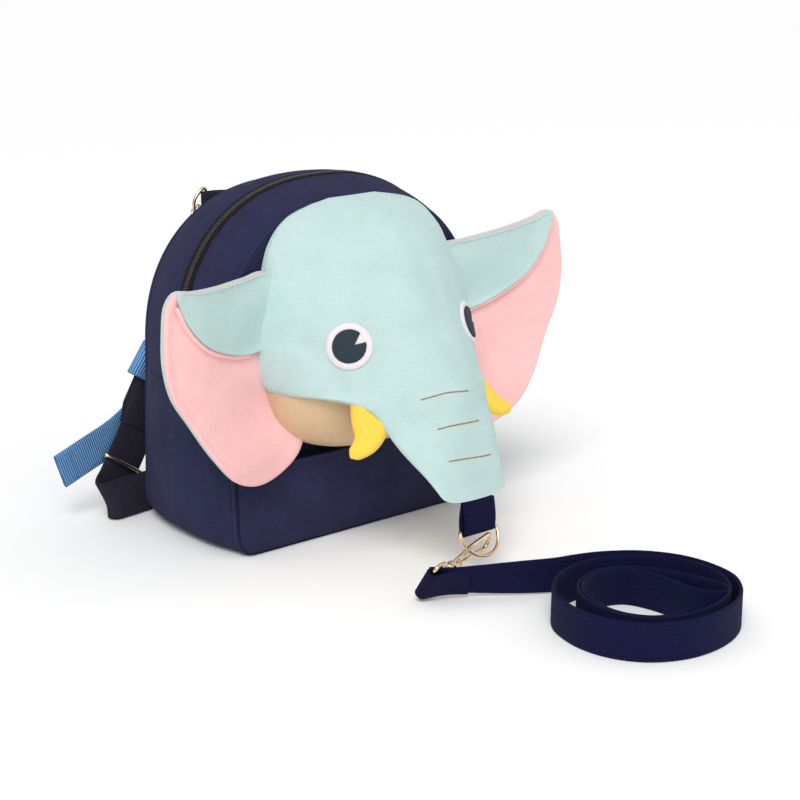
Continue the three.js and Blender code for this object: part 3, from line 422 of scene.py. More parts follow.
def stitches(
    name: str,
    path: np.ndarray,
    normals: np.ndarray,
    pitch: float = 3.2,
    share: float = 0.66,
    thread: float = 0.55,
) -> Piece:
    """Makes a row of stitches by modelling one and copying it along a path.

    Args:
        name: The piece's name.
        path: Where the thread runs, on the cloth.
        normals: The cloth's outward direction at each place of the path.
        pitch: The distance from one stitch to the next.
        share: How much of the pitch one stitch fills.
        thread: How thick the thread is.

    Returns:
        One object that holds all the stitches.
    """
    count = max(2, round(length_of(path) / pitch))
    spots = evenly(path, count)
    ways = tangents(spots)
    ups = evenly_vectors(path, normals, count)
    deselect_all()
    bpy.ops.mesh.primitive_uv_sphere_add(segments=6, ring_count=5, radius=0.5)
    bpy.ops.object.transform_apply(location=True, rotation=True, scale=True)
    base = bpy.context.object
    corners = np.array([v.co for v in base.data.vertices])
    loops = [list(face.vertices) for face in base.data.polygons]
    points: list[np.ndarray] = []
    faces: list[list[int]] = []
    for place, way, up in zip(spots[:-1], ways[:-1], ups[:-1]):
        up = square_to(up, way)
        side = np.cross(up, way)
        local = np.outer(corners[:, 2] * pitch * share, way)
        local += np.outer(corners[:, 0] * thread, side) + np.outer(corners[:, 1] * thread, up)
        start = len(points) * len(corners)
        faces.extend([[start + k for k in loop] for loop in loops])
        points.append((place + local) * MM)
    mesh = bpy.data.meshes.new(name)
    mesh.from_pydata(np.vstack(points).tolist(), [], faces)
    old = base.data
    base.data = mesh
    bpy.data.meshes.remove(old)
    base.name = name
    activate(base)
    bpy.ops.object.shade_smooth()
    return base


def evenly_vectors(path: np.ndarray, vectors: np.ndarray, count: int) -> np.ndarray:
    """Returns the vectors that belong to a path, at count + 1 even places along it."""
    reach = np.concatenate([[0], np.cumsum(np.linalg.norm(np.diff(path, axis=0), axis=1))])
    wanted = np.linspace(0, reach[-1], count + 1)
    return np.stack([np.interp(wanted, reach, vectors[:, k]) for k in range(3)], axis=1)


def join(name: str, pieces: Sequence[Piece]) -> Piece:
    """Joins pieces into one object."""
    deselect_all()
    for piece in pieces:
        piece.select_set(True)
    bpy.context.view_layer.objects.active = pieces[0]
    bpy.ops.object.join()
    set_name(pieces[0], name)
    return pieces[0]


def mirrored(net: np.ndarray, side: "Side") -> np.ndarray:
    """Returns places as they are on one side of the bag: tables give the left side."""
    return net if side is Side.LEFT else net * np.array([-1.0, 1.0, 1.0])


class Side(Enum):
    """A side of the bag as seen from the front."""

    LEFT = "left"
    RIGHT = "right"

    @property
    def sign(self) -> int:
        """Gives -1 on the left and 1 on the right."""
        return -1 if self is Side.LEFT else 1


class Coordinates(Enum):
    """What a cloth pattern follows."""

    PIECE = "Object"
    WEAVE = "UV"


def linear(colour: Colour) -> tuple[float, float, float, float]:
    """Turns a colour from 0 to 255 into Blender's linear values."""
    values = [c / 255 for c in colour]
    values = [c / 12.92 if c <= 0.04045 else ((c + 0.055) / 1.055) ** 2.4 for c in values]
    return (*values, 1.0)


class Shader:
    """Builds one node material."""

    def __init__(self, name: str) -> None:
        """Starts an empty material with a surface shader."""
        self.material = bpy.data.materials.new(name)
        self.material.use_nodes = True
        self.tree = self.material.node_tree
        self.surface = self.tree.nodes["Principled BSDF"]

    def node(self, kind: str, **values: object) -> bpy.types.Node:
        """Adds a node, setting its properties and its unlinked sockets by name."""
        node = self.tree.nodes.new(kind)
        for key, value in values.items():
            if hasattr(node, key):
                setattr(node, key, value)
            else:
                node.inputs[key.replace("_", " ")].default_value = value
        return node

    def link(self, source: Socket, target: Socket) -> None:
        """Links two sockets."""
        self.tree.links.new(source, target)

    def places(self, coordinates: Coordinates) -> Socket:
        """Returns the pattern's coordinates, in metres."""
        if coordinates is Coordinates.WEAVE:
            return self.node("ShaderNodeUVMap", uv_map="Weave").outputs["UV"]
        return self.node("ShaderNodeTexCoord").outputs["Object"]

    def scaled(self, places: Socket, scale: tuple[float, float, float], turn: float = 0.0) -> Socket:
        """Returns coordinates that are stretched and turned about the Z axis."""
        mapping = self.node("ShaderNodeMapping")
        mapping.inputs["Scale"].default_value = scale
        mapping.inputs["Rotation"].default_value = (0.0, 0.0, turn)
        self.link(places, mapping.inputs["Vector"])
        return mapping.outputs["Vector"]

    def waves(self, places: Socket, pitch: float, direction: str, wobble: float = 0.0) -> Socket:
        """Returns bands that repeat at a pitch in millimetres along X, Y or Z."""
        wave = self.node("ShaderNodeTexWave", wave_type="BANDS", bands_direction=direction, wave_profile="SIN")
        wave.inputs["Scale"].default_value = 0.314159 / (pitch * MM)
        wave.inputs["Distortion"].default_value = wobble
        wave.inputs["Detail"].default_value = 1.0
        self.link(places, wave.inputs["Vector"])
        return wave.outputs["Fac"]

    def math(self, operation: str, a: Socket, b: Socket | float) -> Socket:
        """Returns a sum, product or other result of two values."""
        node = self.node("ShaderNodeMath", operation=operation)
        self.link(a, node.inputs[0])
        if isinstance(b, Socket):
            self.link(b, node.inputs[1])
        else:
            node.inputs[1].default_value = b
        return node.outputs[0]

    def cloud(self, places: Socket, size: float, detail: float = 3.0) -> Socket:
        """Returns soft random patches of a size in millimetres."""
        patch = self.node("ShaderNodeTexNoise")
        patch.inputs["Scale"].default_value = 1 / (size * MM)
        patch.inputs["Detail"].default_value = detail
        self.link(places, patch.inputs["Vector"])
        return patch.outputs["Fac"]

    def blend(self, share: Socket, dark: Colour, light: Colour, low: float = 0.3, high: float = 0.7) -> Socket:
        """Returns a colour between two, as a share goes from low to high."""
        ramp = self.node("ShaderNodeValToRGB")
        ramp.color_ramp.elements[0].position = low
        ramp.color_ramp.elements[0].color = linear(dark)
        ramp.color_ramp.elements[1].position = high
        ramp.color_ramp.elements[1].color = linear(light)
        self.link(share, ramp.inputs["Fac"])
        return ramp.outputs["Color"]

    def bump(self, height: Socket, depth: float, strength: float = 1.0, below: Socket | None = None) -> Socket:
        """Returns a normal bumped by a height, with its depth in millimetres."""
        node = self.node("ShaderNodeBump")
        node.inputs["Distance"].default_value = depth * MM
        node.inputs["Strength"].default_value = strength
        self.link(height, node.inputs["Height"])
        if below is not None:
            self.link(below, node.inputs["Normal"])
        return node.outputs["Normal"]


def shade(colour: Colour, factor: float) -> Colour:
    """Returns a colour made darker or lighter by a factor."""
    return tuple(min(255, round(c * factor)) for c in colour)


@dataclass(frozen=True)
class Cloth:
    """A plain woven cotton cloth, matt, with slubs, fine creases and a soft nap."""

    name: str
    colour: Colour
    coordinates: Coordinates = Coordinates.WEAVE
    thread: float = 0.9
    relief: float = 0.14
    nap: float = 0.04
    crumple: float = 0.5
    contrast: float = 0.07

    def material(self) -> bpy.types.Material:
        """Builds the material once and returns it."""
        made = bpy.data.materials.get(f"{self.name}_finish")
        if made:
            return made
        shader = Shader(f"{self.name}_finish")
        places = shader.places(self.coordinates)
        rise = "Z" if self.coordinates is Coordinates.PIECE else "Y"
        warp = shader.waves(places, self.thread, "X", 0.4)
        weft = shader.waves(places, self.thread, rise, 0.4)
        weave = shader.math("MULTIPLY", warp, weft)
        patches = shader.cloud(places, 26.0)
        slubs = shader.cloud(shader.scaled(places, (1.0, 0.25, 1.0)), 1.6, 2.0)
        tone = shader.math("ADD", shader.math("MULTIPLY", patches, 0.6), shader.math("MULTIPLY", slubs, 0.4))
        dark, light = shade(self.colour, 1 - self.contrast), shade(self.colour, 1 + self.contrast)
        shader.link(shader.blend(tone, dark, light), shader.surface.inputs["Base Color"])
        creased = shader.bump(shader.cloud(places, 14.0, 4.0), self.crumple)
        shader.link(shader.bump(weave, self.relief, 0.8, creased), shader.surface.inputs["Normal"])
        shader.surface.inputs["Roughness"].default_value = 0.92
        shader.surface.inputs["Sheen Weight"].default_value = self.nap
        shader.surface.inputs["Sheen Roughness"].default_value = 0.5
        shader.surface.inputs["Specular IOR Level"].default_value = 0.12
        return shader.material


@dataclass(frozen=True)
class Felt:
    """A dense felt with short fibres."""

    name: str
    colour: Colour

    def material(self) -> bpy.types.Material:
        """Builds the material once and returns it."""
        made = bpy.data.materials.get(f"{self.name}_finish")
        if made:
            return made
        shader = Shader(f"{self.name}_finish")
        places = shader.places(Coordinates.PIECE)
        fibres = shader.cloud(places, 0.7, 5.0)
        shader.link(shader.blend(fibres, shade(self.colour, 0.93), shade(self.colour, 1.05)), shader.surface.inputs["Base Color"])
        shader.link(shader.bump(fibres, 0.25), shader.surface.inputs["Normal"])
        shader.surface.inputs["Roughness"].default_value = 0.95
        shader.surface.inputs["Sheen Weight"].default_value = 0.04
        shader.surface.inputs["Specular IOR Level"].default_value = 0.1
        return shader.material


@dataclass(frozen=True)
class Webbing:
    """Woven webbing: slanting ribs in rows along its length, with round yarns, their tops painted lighter and the
    grooves between them painted darker as painted shade.
    """

    name: str
    colour: Colour
    # The colour painted on the yarn tops; the first colour is painted in the grooves as painted shade.
    light: Colour
    pitch: float = 2.1
    slant: float = 0.5
    relief: float = 0.35

    def material(self) -> bpy.types.Material:
        """Builds the material once and returns it."""
        made = bpy.data.materials.get(f"{self.name}_finish")
        if made:
            return made
        shader = Shader(f"{self.name}_finish")
        places = shader.places(Coordinates.WEAVE)
        slanted = shader.scaled(places, (1.0, 1.0, 1.0), self.slant)
        ribs = shader.waves(slanted, self.pitch, "Y", 0.2)
        rows = shader.waves(places, self.pitch * 1.25, "X", 0.0)
        yarns = shader.math("MULTIPLY", ribs, shader.math("ADD", shader.math("MULTIPLY", rows, 0.6), 0.4))
        fibres = shader.cloud(places, 0.5, 3.0)
        height = shader.math("ADD", yarns, shader.math("MULTIPLY", fibres, 0.25))
        # Colour follows the yarns' height: tops painted lighter, grooves painted darker as painted shade; the fibres
        # add random tone.
        shader.link(shader.blend(height, self.colour, self.light, 0.15, 1.0), shader.surface.inputs["Base Color"])
        shader.link(shader.bump(height, self.relief), shader.surface.inputs["Normal"])
        shader.surface.inputs["Roughness"].default_value = 0.85
        shader.surface.inputs["Sheen Weight"].default_value = 0.01
        shader.surface.inputs["Specular IOR Level"].default_value = 0.15
        return shader.material


@dataclass(frozen=True)
class Ribbed:
    """Ribbed webbing: raised light cords across its width on a darker ground."""

    name: str
    ground: Colour
    rib: Colour
    pitch: float = 1.75
    relief: float = 0.5

    def material(self) -> bpy.types.Material:
        """Builds the material once and returns it."""
        made = bpy.data.materials.get(f"{self.name}_finish")
        if made:
            return made
        shader = Shader(f"{self.name}_finish")
        places = shader.places(Coordinates.WEAVE)
        ribs = shader.waves(places, self.pitch, "Y", 0.1)
        knots = shader.waves(places, 0.9, "X", 0.0)
        height = shader.math("ADD", shader.math("MULTIPLY", ribs, 0.85), shader.math("MULTIPLY", knots, 0.15))
        shader.link(shader.blend(height, self.ground, self.rib, 0.35, 0.95), shader.surface.inputs["Base Color"])
        shader.link(shader.bump(height, self.relief), shader.surface.inputs["Normal"])
        shader.surface.inputs["Roughness"].default_value = 0.7
        shader.surface.inputs["Sheen Weight"].default_value = 0.02
        return shader.material


@dataclass(frozen=True)
class Plating:
    """Polished pale gold plating on a die-cast base."""

    name: str
    colour: Colour = (232, 208, 172)
    roughness: float = 0.17

    def material(self) -> bpy.types.Material:
        """Builds the material once and returns it."""
        made = bpy.data.materials.get(f"{self.name}_finish")
        if made:
            return made
        shader = Shader(f"{self.name}_finish")
        places = shader.places(Coordinates.PIECE)
        smears = shader.cloud(places, 9.0, 3.0)
        spread = shader.node("ShaderNodeMapRange")
        spread.inputs["To Min"].default_value = self.roughness * 0.7
        spread.inputs["To Max"].default_value = self.roughness * 1.5
        shader.link(smears, spread.inputs["Value"])
        shader.link(spread.outputs["Result"], shader.surface.inputs["Roughness"])
        shader.link(shader.blend(smears, shade(self.colour, 0.95), self.colour), shader.surface.inputs["Base Color"])
        shader.link(shader.bump(shader.cloud(places, 2.5, 4.0), 0.03), shader.surface.inputs["Normal"])
        shader.surface.inputs["Metallic"].default_value = 1.0
        return shader.material


@dataclass(frozen=True)
class Nylon:
    """Moulded nylon, as of zip teeth."""

    name: str
    colour: Colour

    def material(self) -> bpy.types.Material:
        """Builds the material once and returns it."""
        made = bpy.data.materials.get(f"{self.name}_finish")
        if made:
            return made
        shader = Shader(f"{self.name}_finish")
        places = shader.places(Coordinates.PIECE)
        speckle = shader.cloud(places, 1.2, 3.0)
        shader.link(shader.blend(speckle, shade(self.colour, 0.85), shade(self.colour, 1.15)), shader.surface.inputs["Base Color"])
        shader.link(shader.bump(speckle, 0.04), shader.surface.inputs["Normal"])
        shader.surface.inputs["Roughness"].default_value = 0.42
        return shader.material


NAVY = Cloth("navy_canvas", (43, 44, 73), nap=0.015, contrast=0.12)
# A darker copy of the navy canvas for the front and back panels: painted shade.
NAVY_PANEL_SHADED = Cloth("navy_panel_painted_shade", (38, 39, 64), coordinates=Coordinates.PIECE, nap=0.015, contrast=0.12)
# A lighter copy of the navy canvas for the rolled seams and the pocket's edge: painted highlight on the rolls.
NAVY_SEAM_HIGHLIT = Cloth("navy_seam_painted_highlight", (46, 47, 80), nap=0.02, contrast=0.12)
MINT = Cloth("mint_cotton", (187, 212, 209), coordinates=Coordinates.PIECE, contrast=0.03)
PINK = Cloth("pink_cotton", (251, 196, 195), coordinates=Coordinates.PIECE, contrast=0.03)
TAN = Cloth("tan_cotton", (212, 182, 148), coordinates=Coordinates.PIECE, contrast=0.05)
YELLOW = Felt("yellow_cotton", (255, 212, 84))
WHITE = Felt("white_felt", (232, 226, 230))
SLATE = Felt("slate_felt", (49, 61, 70))
# The lead's lighter colour is painted on its yarn tops, the darker in its grooves as painted shade.
LEAD_WEB = Webbing("navy_webbing", (8, 9, 36), (20, 22, 76), pitch=1.5, slant=0.2)
STRAP_CLOTH = Cloth("strap_fabric", (42, 39, 52), nap=0.01, contrast=0.15)
BLUE_WEB = Ribbed("blue_webbing", (24, 98, 168), (150, 196, 232))
# The tape's lighter colour is painted on its yarn tops, the darker in its grooves as painted shade.
TAPE = Webbing("zip_tape", (20, 19, 21), (38, 36, 39), pitch=1.0, slant=0.0, relief=0.15)
TEETH = Nylon("zip_teeth", (62, 56, 58))
GOLD = Plating("gold_metal")
NAVY_THREAD = Felt("navy_thread", (62, 64, 108))
MINT_THREAD = Felt("mint_thread", (146, 180, 174))
TAN_THREAD = Felt("tan_thread", (186, 154, 120))
BROWN_THREAD = Felt("brown_thread", (172, 118, 78))


def dress(piece: Piece, finish: Cloth | Felt | Webbing | Ribbed | Plating | Nylon, slot: str, body: str = BAG) -> Piece:
    """Gives a piece its finish and the body that it rides on.

    Args:
        piece: The piece.
        finish: The finish to build.
        slot: Not used.
        body: The body that carries the piece.

    Returns:
        The same piece.
    """
    piece.data.materials.clear()
    piece.data.materials.append(finish.material())
    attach(piece, body)
    LOG.info("%s: %d faces", piece.name, len(piece.data.polygons))
    return piece


@dataclass
class Outline:
    """The bag's outline: flat bottom, round lower corners, straight sides and a full arch."""

    half_width: float = 107.0
    height: float = 243.0
    panel_drop: float = 9.0
    base_front: float = 58.5
    base_rear: float = 60.0
    front_lean: float = 0.053
    rear_lean: float = 0.066
    arch_start: float = 130.0
    arch_power: float = 2.3
    corner: float = 16.0
    swell: float = 8.0
    lower_swell: float = 5.0
    cloth: float = 2.0
    bottom_share: float = 0.14
    corner_share: float = 0.2
    side_share: float = 0.3

    def front(self, z: float) -> float:
        """Returns the front panel's Y at a height."""
        return self.front_lean * z - self.base_front

    def rear(self, z: float) -> float:
        """Returns the back panel's Y at a height."""
        return self.base_rear - self.rear_lean * z

    def at(self, share: float, half: float, height: float, inset: float) -> tuple[float, float]:
        """Returns X and Z at a share of the way round, from the bottom's middle by the left side."""
        share %= 1.0
        left = share <= 0.5
        t = share if left else 1 - share
        w, top, r = half - inset, height - inset, max(self.corner - inset, 1.0)
        if t < self.bottom_share:
            x, z = (w - r) * t / self.bottom_share, inset
        elif t < self.corner_share:
            a = math.pi / 2 * (t - self.bottom_share) / (self.corner_share - self.bottom_share)
            x, z = w - r + r * math.sin(a), inset + r - r * math.cos(a)
        elif t < self.side_share:
            x = w
            z = mix(inset + r, self.arch_start, (t - self.corner_share) / (self.side_share - self.corner_share))
        else:
            a = math.pi / 2 * (t - self.side_share) / (0.5 - self.side_share)
            x = w * max(0.0, math.cos(a)) ** (2 / self.arch_power)
            z = self.arch_start + (top - self.arch_start) * math.sin(a) ** (2 / self.arch_power)
        return (-x if left else x), z

    def edge(self, share: float, inset: float = 0.0) -> tuple[float, float]:
        """Returns X and Z on the panels' edge."""
        return self.at(share, self.half_width, self.height - self.panel_drop, inset)

    def gusset(self, share: float, depth: float, inset: float) -> np.ndarray:
        """Returns a place on the gusset: depth 0 at the front panel, 1 at the back panel."""
        belly = 1 - abs(2 * depth - 1) ** 2.4
        x, z = self.at(share, self.half_width + self.swell * belly, self.height - self.panel_drop * (1 - belly), inset)
        low = math.sin(math.pi * min(1.0, max(0.0, z / self.arch_start)))
        x *= 1 + self.lower_swell * low * belly / self.half_width
        y = mix(self.front(z) + self.cloth + GAP, self.rear(z) - self.cloth - GAP, depth)
        return np.array([x, y, z])


@dataclass
class Shell:
    """The bag's walls: two panels, a gusset in three stretches, rolled seams and the front pocket."""

    outline: Outline
    zip_place: float = 0.44
    tape_width: float = 13.0
    zip_end_height: float = 112.0
    pocket_height: float = 62.0
    pocket_belly: float = 9.0
    pocket_side_seam: float = 1.5
    hem: float = 9.0
    seam: float = 2.6
    welt: float = 2.2

    @property
    def span(self) -> float:
        """Returns the gusset's depth at the bottom."""
        return self.outline.base_front + self.outline.base_rear

    @property
    def tape_half(self) -> float:
        """Returns half the zip tape's width as a share of the gusset's depth."""
        return self.tape_width / 2 / self.span

    @property
    def zip_end(self) -> float:
        """Returns the share of the way round where the zip ends."""
        o = self.outline
        climb = (self.zip_end_height - o.corner) / (o.arch_start - o.corner)
        return o.corner_share + (o.side_share - o.corner_share) * climb

    def cloth_lift(self, place: np.ndarray, seam_near: float) -> float:
        """Returns how far the cloth stands out of its plane: soft waves, and puckers beside a seam."""
        wave = 0.9 * ripple(*place, 46, 3.1) + 0.45 * ripple(*place, 17, 7.7)
        pucker = 0.5 * ripple(*place, 6.5, 1.3) * math.exp(-seam_near / 6)
        lift = wave * (1 - math.exp(-seam_near / 9)) + pucker
        return min(lift, 0.0) if place[2] < 4 else lift

    def band(self, name: str, shares: np.ndarray, depths: np.ndarray) -> Piece:
        """Makes one stretch of the gusset."""
        o = self.outline
        net = [
            [
                o.gusset(s, d, -self.cloth_lift(o.gusset(s, d, 0), self.seam_near(s, d - depths[0], depths[-1] - d)))
                for s in shares
            ]
            for d in depths
        ]
        size = (length_of(np.array(net[0])), (depths[-1] - depths[0]) * self.span)
        return surface(name, np.array(net), size=size, wall=o.cloth, inside=(0, 0, 100))

    def seam_near(self, share: float, before: float, after: float) -> float:
        """Returns the distance to the nearest seam, for depths before and after a place on the gusset."""
        folded = min(share % 1.0, 1 - share % 1.0)
        return min(before * self.span, after * self.span, abs(folded - self.zip_end) * 730)

    def gussets(self) -> None:
        """Builds the lower gusset and the two stretches beside the zip."""
        gap = 0.6 / self.span
        low = np.linspace(-self.zip_end - 0.001, self.zip_end + 0.001, 180)
        high = np.linspace(self.zip_end, 1 - self.zip_end, 170)
        front = np.linspace(0, self.zip_place - self.tape_half - gap, 12)
        rear = np.linspace(self.zip_place + self.tape_half + gap, 1, 14)
        for name, shares, depths in (
            ("gusset_lower", low, np.linspace(0, 1, 26)),
            ("gusset_front", high, front),
            ("gusset_rear", high, rear),
        ):
            piece = dress(self.band(f"cloth_{name}", shares, depths), NAVY, "navy_canvas")
            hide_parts(name)
            self.flat_size(shares, depths)

    def flat_size(self, shares: np.ndarray, depths: np.ndarray) -> tuple[float, float]:
        """Returns the flat size of a stretch of gusset, in metres."""
        path = np.array([self.outline.gusset(s, float(depths.mean()), 0) for s in shares])
        return (depths[-1] - depths[0]) * self.span * MM, length_of(path) * MM

    def panel(self, name: str, plane: Value, outward: float) -> Piece:
        """Makes a panel with soft waves in its cloth.

        Args:
            name: The piece's name.
            plane: Gives the panel's Y at a height.
            outward: The sign of Y on its outer side.

        Returns:
            The new object.
        """
        o = self.outline
        shares = np.linspace(0, 1, 132, endpoint=False)
        middle_z = o.arch_start * 0.85
        rows = []
        for f in (1.0, 0.985, 0.95, 0.88, 0.78, 0.66, 0.52, 0.38, 0.24, 0.1, 0.0):
            row = []
            for s in shares:
                x, z = o.edge(s)
                x, z = x * f, middle_z + (z - middle_z) * f
                lift = 0.6 * ripple(x, 0, z, 38, outward + 4.2) * (1 - f**8)
                row.append((x, plane(z) + outward * lift, z))
            rows.append(row)
        return surface(name, np.array(rows), wrap=True, size=(600, 110), wall=o.cloth, inside=(0, 0, 100))

    def panels(self) -> None:
        """Builds the front and back panels."""
        o = self.outline
        for name, plane, outward in (("front_panel", o.front, -1.0), ("back_panel", o.rear, 1.0)):
            # The panels wear the darker copy of the navy canvas, painted shade.
            piece = dress(self.panel(f"cloth_{name}", plane, outward), NAVY_PANEL_SHADED, "navy_canvas")
            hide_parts(name)

    def rolled_seam(self, name: str, plane: Value, inward: float) -> None:
        """Builds the rolled seam round one panel."""
        o = self.outline
        path = []
        for s in np.linspace(0, 1, 240, endpoint=False):
            x, z = o.edge(s, 0.2)
            path.append((x, plane(z) + inward * (o.cloth + GAP / 2), max(z, self.seam / 2 + 0.05)))
        piece = tube(name, np.array(path), self.seam, sides=10, closed=True)
        # The rolled seam wears the lighter navy copy, a painted highlight.
        dress(piece, NAVY_SEAM_HIGHLIT, "navy_canvas")

    def welts(self) -> None:
        """Builds dark rolls along the tape's edges beside the zip, and the stitches next to them. The rolls wear the
        tape's dark finish, partly the tape's own colour and partly painted shade that widens the dark band beside the
        teeth.
        """
        o = self.outline
        for name, side in (("front", -1), ("rear", 1)):
            shares = np.linspace(self.zip_end + 0.002, 1 - self.zip_end - 0.002, 220)
            edge = self.zip_place + side * (self.tape_half - 0.4 / self.span)
            path = np.array([o.gusset(s, edge, 0.1) for s in shares])
            # The rolls take the dark tape finish: partly the tape's own colour, partly painted shade beside the teeth.
            dress(tube(f"welt_{name}", path, self.welt, sides=10), TAPE, "zip_tape")
            row = self.zip_place + side * (self.tape_half + 3.6 / self.span)
            line = np.array([o.gusset(s, row, -0.3) for s in shares])
            normals = np.array([o.gusset(s, row, -2) - o.gusset(s, row, 0) for s in shares])
            dress(stitches(f"welt_stitches_{name}", line, normals), NAVY_THREAD, "navy_canvas")

    def pocket(self) -> None:
        """Builds the front pocket: a full lower panel with a folded and stitched top edge."""
        o = self.outline
        rows = [[self.pocket_place(c, v, o.cloth) for c in np.linspace(-1, 1, 100)] for v in np.linspace(0, 1, 26)]
        piece = surface("cloth_pocket", np.array(rows), size=(210, 66), wall=o.cloth, inside=(0, 0, 60))
        dress(piece, NAVY, "navy_canvas")
        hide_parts("front_pocket")
        across = np.linspace(-0.985, 0.985, 160)
        top = np.array([self.pocket_place(c, 1.0, o.cloth / 2) for c in across])
        # The pocket's edge wears the lighter navy copy, a painted highlight.
        dress(tube("pocket_edge", top, o.cloth + 1.2, sides=10), NAVY_SEAM_HIGHLIT, "navy_canvas")
        line = np.array([self.pocket_place(c, 1 - self.hem / self.pocket_height, o.cloth + 0.15) for c in across])
        normals = np.tile([0.0, -1.0, 0.0], (len(line), 1))
        dress(stitches("pocket_stitches", line, normals), NAVY_THREAD, "navy_canvas")

    def pocket_place(self, c: float, v: float, lift: float) -> tuple[float, float, float]:
        """Returns a place on the pocket: c from -1 to 1 across, v from 0 to 1 upwards."""
        o = self.outline
        z = mix(o.cloth + GAP, self.pocket_height, v)
        low = max(0.0, 1 - z / o.corner)
        half = o.half_width - self.pocket_side_seam - o.corner * (1 - math.sqrt(max(0.0, 1 - low**2)))
        belly = self.pocket_belly * (1 - abs(c) ** 4) * math.sin(math.pi / 2 * min(1.0, 1.6 * v))
        x = half * c
        sag = 0.7 * ripple(x, 0, z, 30, 9.1) * (1 - abs(c) ** 6) + 0.5 * ripple(x, 0, z, 9, 5.3) * (1 - v)
        return x, o.front(z) - GAP - belly - lift + sag * min(1.0, 3 * v), z

    def build(self) -> None:
        """Builds the whole shell."""
        self.panels()
        self.gussets()
        self.rolled_seam("seam_front", self.outline.front, 1.0)
        self.rolled_seam("seam_rear", self.outline.rear, -1.0)
        self.welts()
        self.pocket()


@dataclass
class Zip:
    """The zip round the arch: woven tape and a nylon coil of teeth."""

    shell: Shell
    chain_width: float = 6.0
    tooth_pitch: float = 1.5
    tooth_wire: float = 0.95

    def build(self) -> None:
        """Builds the tape and the teeth."""
        o = self.shell.outline
        shares = np.linspace(self.shell.zip_end, 1 - self.shell.zip_end, 170)
        half = self.shell.tape_half
        depths = np.linspace(self.shell.zip_place - half, self.shell.zip_place + half, 7)
        net = np.array([[o.gusset(s, d, 0.4) for s in shares] for d in depths])
        length = length_of(net[3])
        size = (self.shell.tape_width, length)
        tape = surface("woven_tape", net.transpose(1, 0, 2), size=size, wall=1.2, inside=(0, 0, 100))
        dress(tape, TAPE, "zip_tape")
        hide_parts("zip_tape")
        teeth = join("zip_coil", [self.row(side) for side in (-1, 1)])
        dress(teeth, TEETH, "zip_teeth")
        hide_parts("zip_chain")

    def row(self, side: int) -> Piece:
        """Builds the teeth of one tape edge, each lying across the zip."""
        o = self.shell.outline
        half = self.chain_width / 4 / self.shell.span
        depth = self.shell.zip_place + side * half
        shares = np.linspace(self.shell.zip_end + 0.002, 1 - self.shell.zip_end - 0.002, 400)
        path = np.array([o.gusset(s, depth, -0.35) for s in shares])
        normals = np.array([o.gusset(s, depth, -2) - o.gusset(s, depth, 0) for s in shares])
        count = round(length_of(path) / self.tooth_pitch)
        spots, ups = evenly(path, count), evenly_vectors(path, normals, count)
        ways = tangents(spots)
        if side > 0:
            spots = spots + ways * self.tooth_pitch / 2
        deselect_all()
        bpy.ops.mesh.primitive_cylinder_add(vertices=8, radius=0.5, depth=1.0)
        base = bpy.context.object
        bpy.ops.object.mode_set(mode="EDIT")
        bpy.ops.mesh.select_all(action="SELECT")
        bpy.ops.mesh.bevel(offset=0.12, segments=1, affect="EDGES")
        bpy.ops.object.mode_set(mode="OBJECT")
        corners = np.array([v.co for v in base.data.vertices])
        loops = [list(face.vertices) for face in base.data.polygons]
        points, faces = [], []
        for place, way, up in zip(spots[:-1], ways[:-1], ups[:-1]):
            up = square_to(up, way)
            over = np.cross(way, up)
            local = np.outer(corners[:, 2] * self.chain_width * 0.56, over)
            local += np.outer(corners[:, 0] * self.tooth_wire, way) + np.outer(corners[:, 1] * 1.5, up)
            faces.extend([[len(points) * len(corners) + k for k in loop] for loop in loops])
            points.append((place + local) * MM)
        mesh = bpy.data.meshes.new(f"teeth_{side}")
        mesh.from_pydata(np.vstack(points).tolist(), [], faces)
        old = base.data
        base.data = mesh
        bpy.data.meshes.remove(old)
        activate(base)
        bpy.ops.object.shade_smooth_by_angle(angle=math.radians(40))
        return base


@dataclass
class Slice:
    """One slice of the head, in shares: see Head for the sizes that it follows."""

    width: float
    edge_height: float
    edge_out: float
    ridge_height: float
    ridge_out: float
    back: float
    power: float


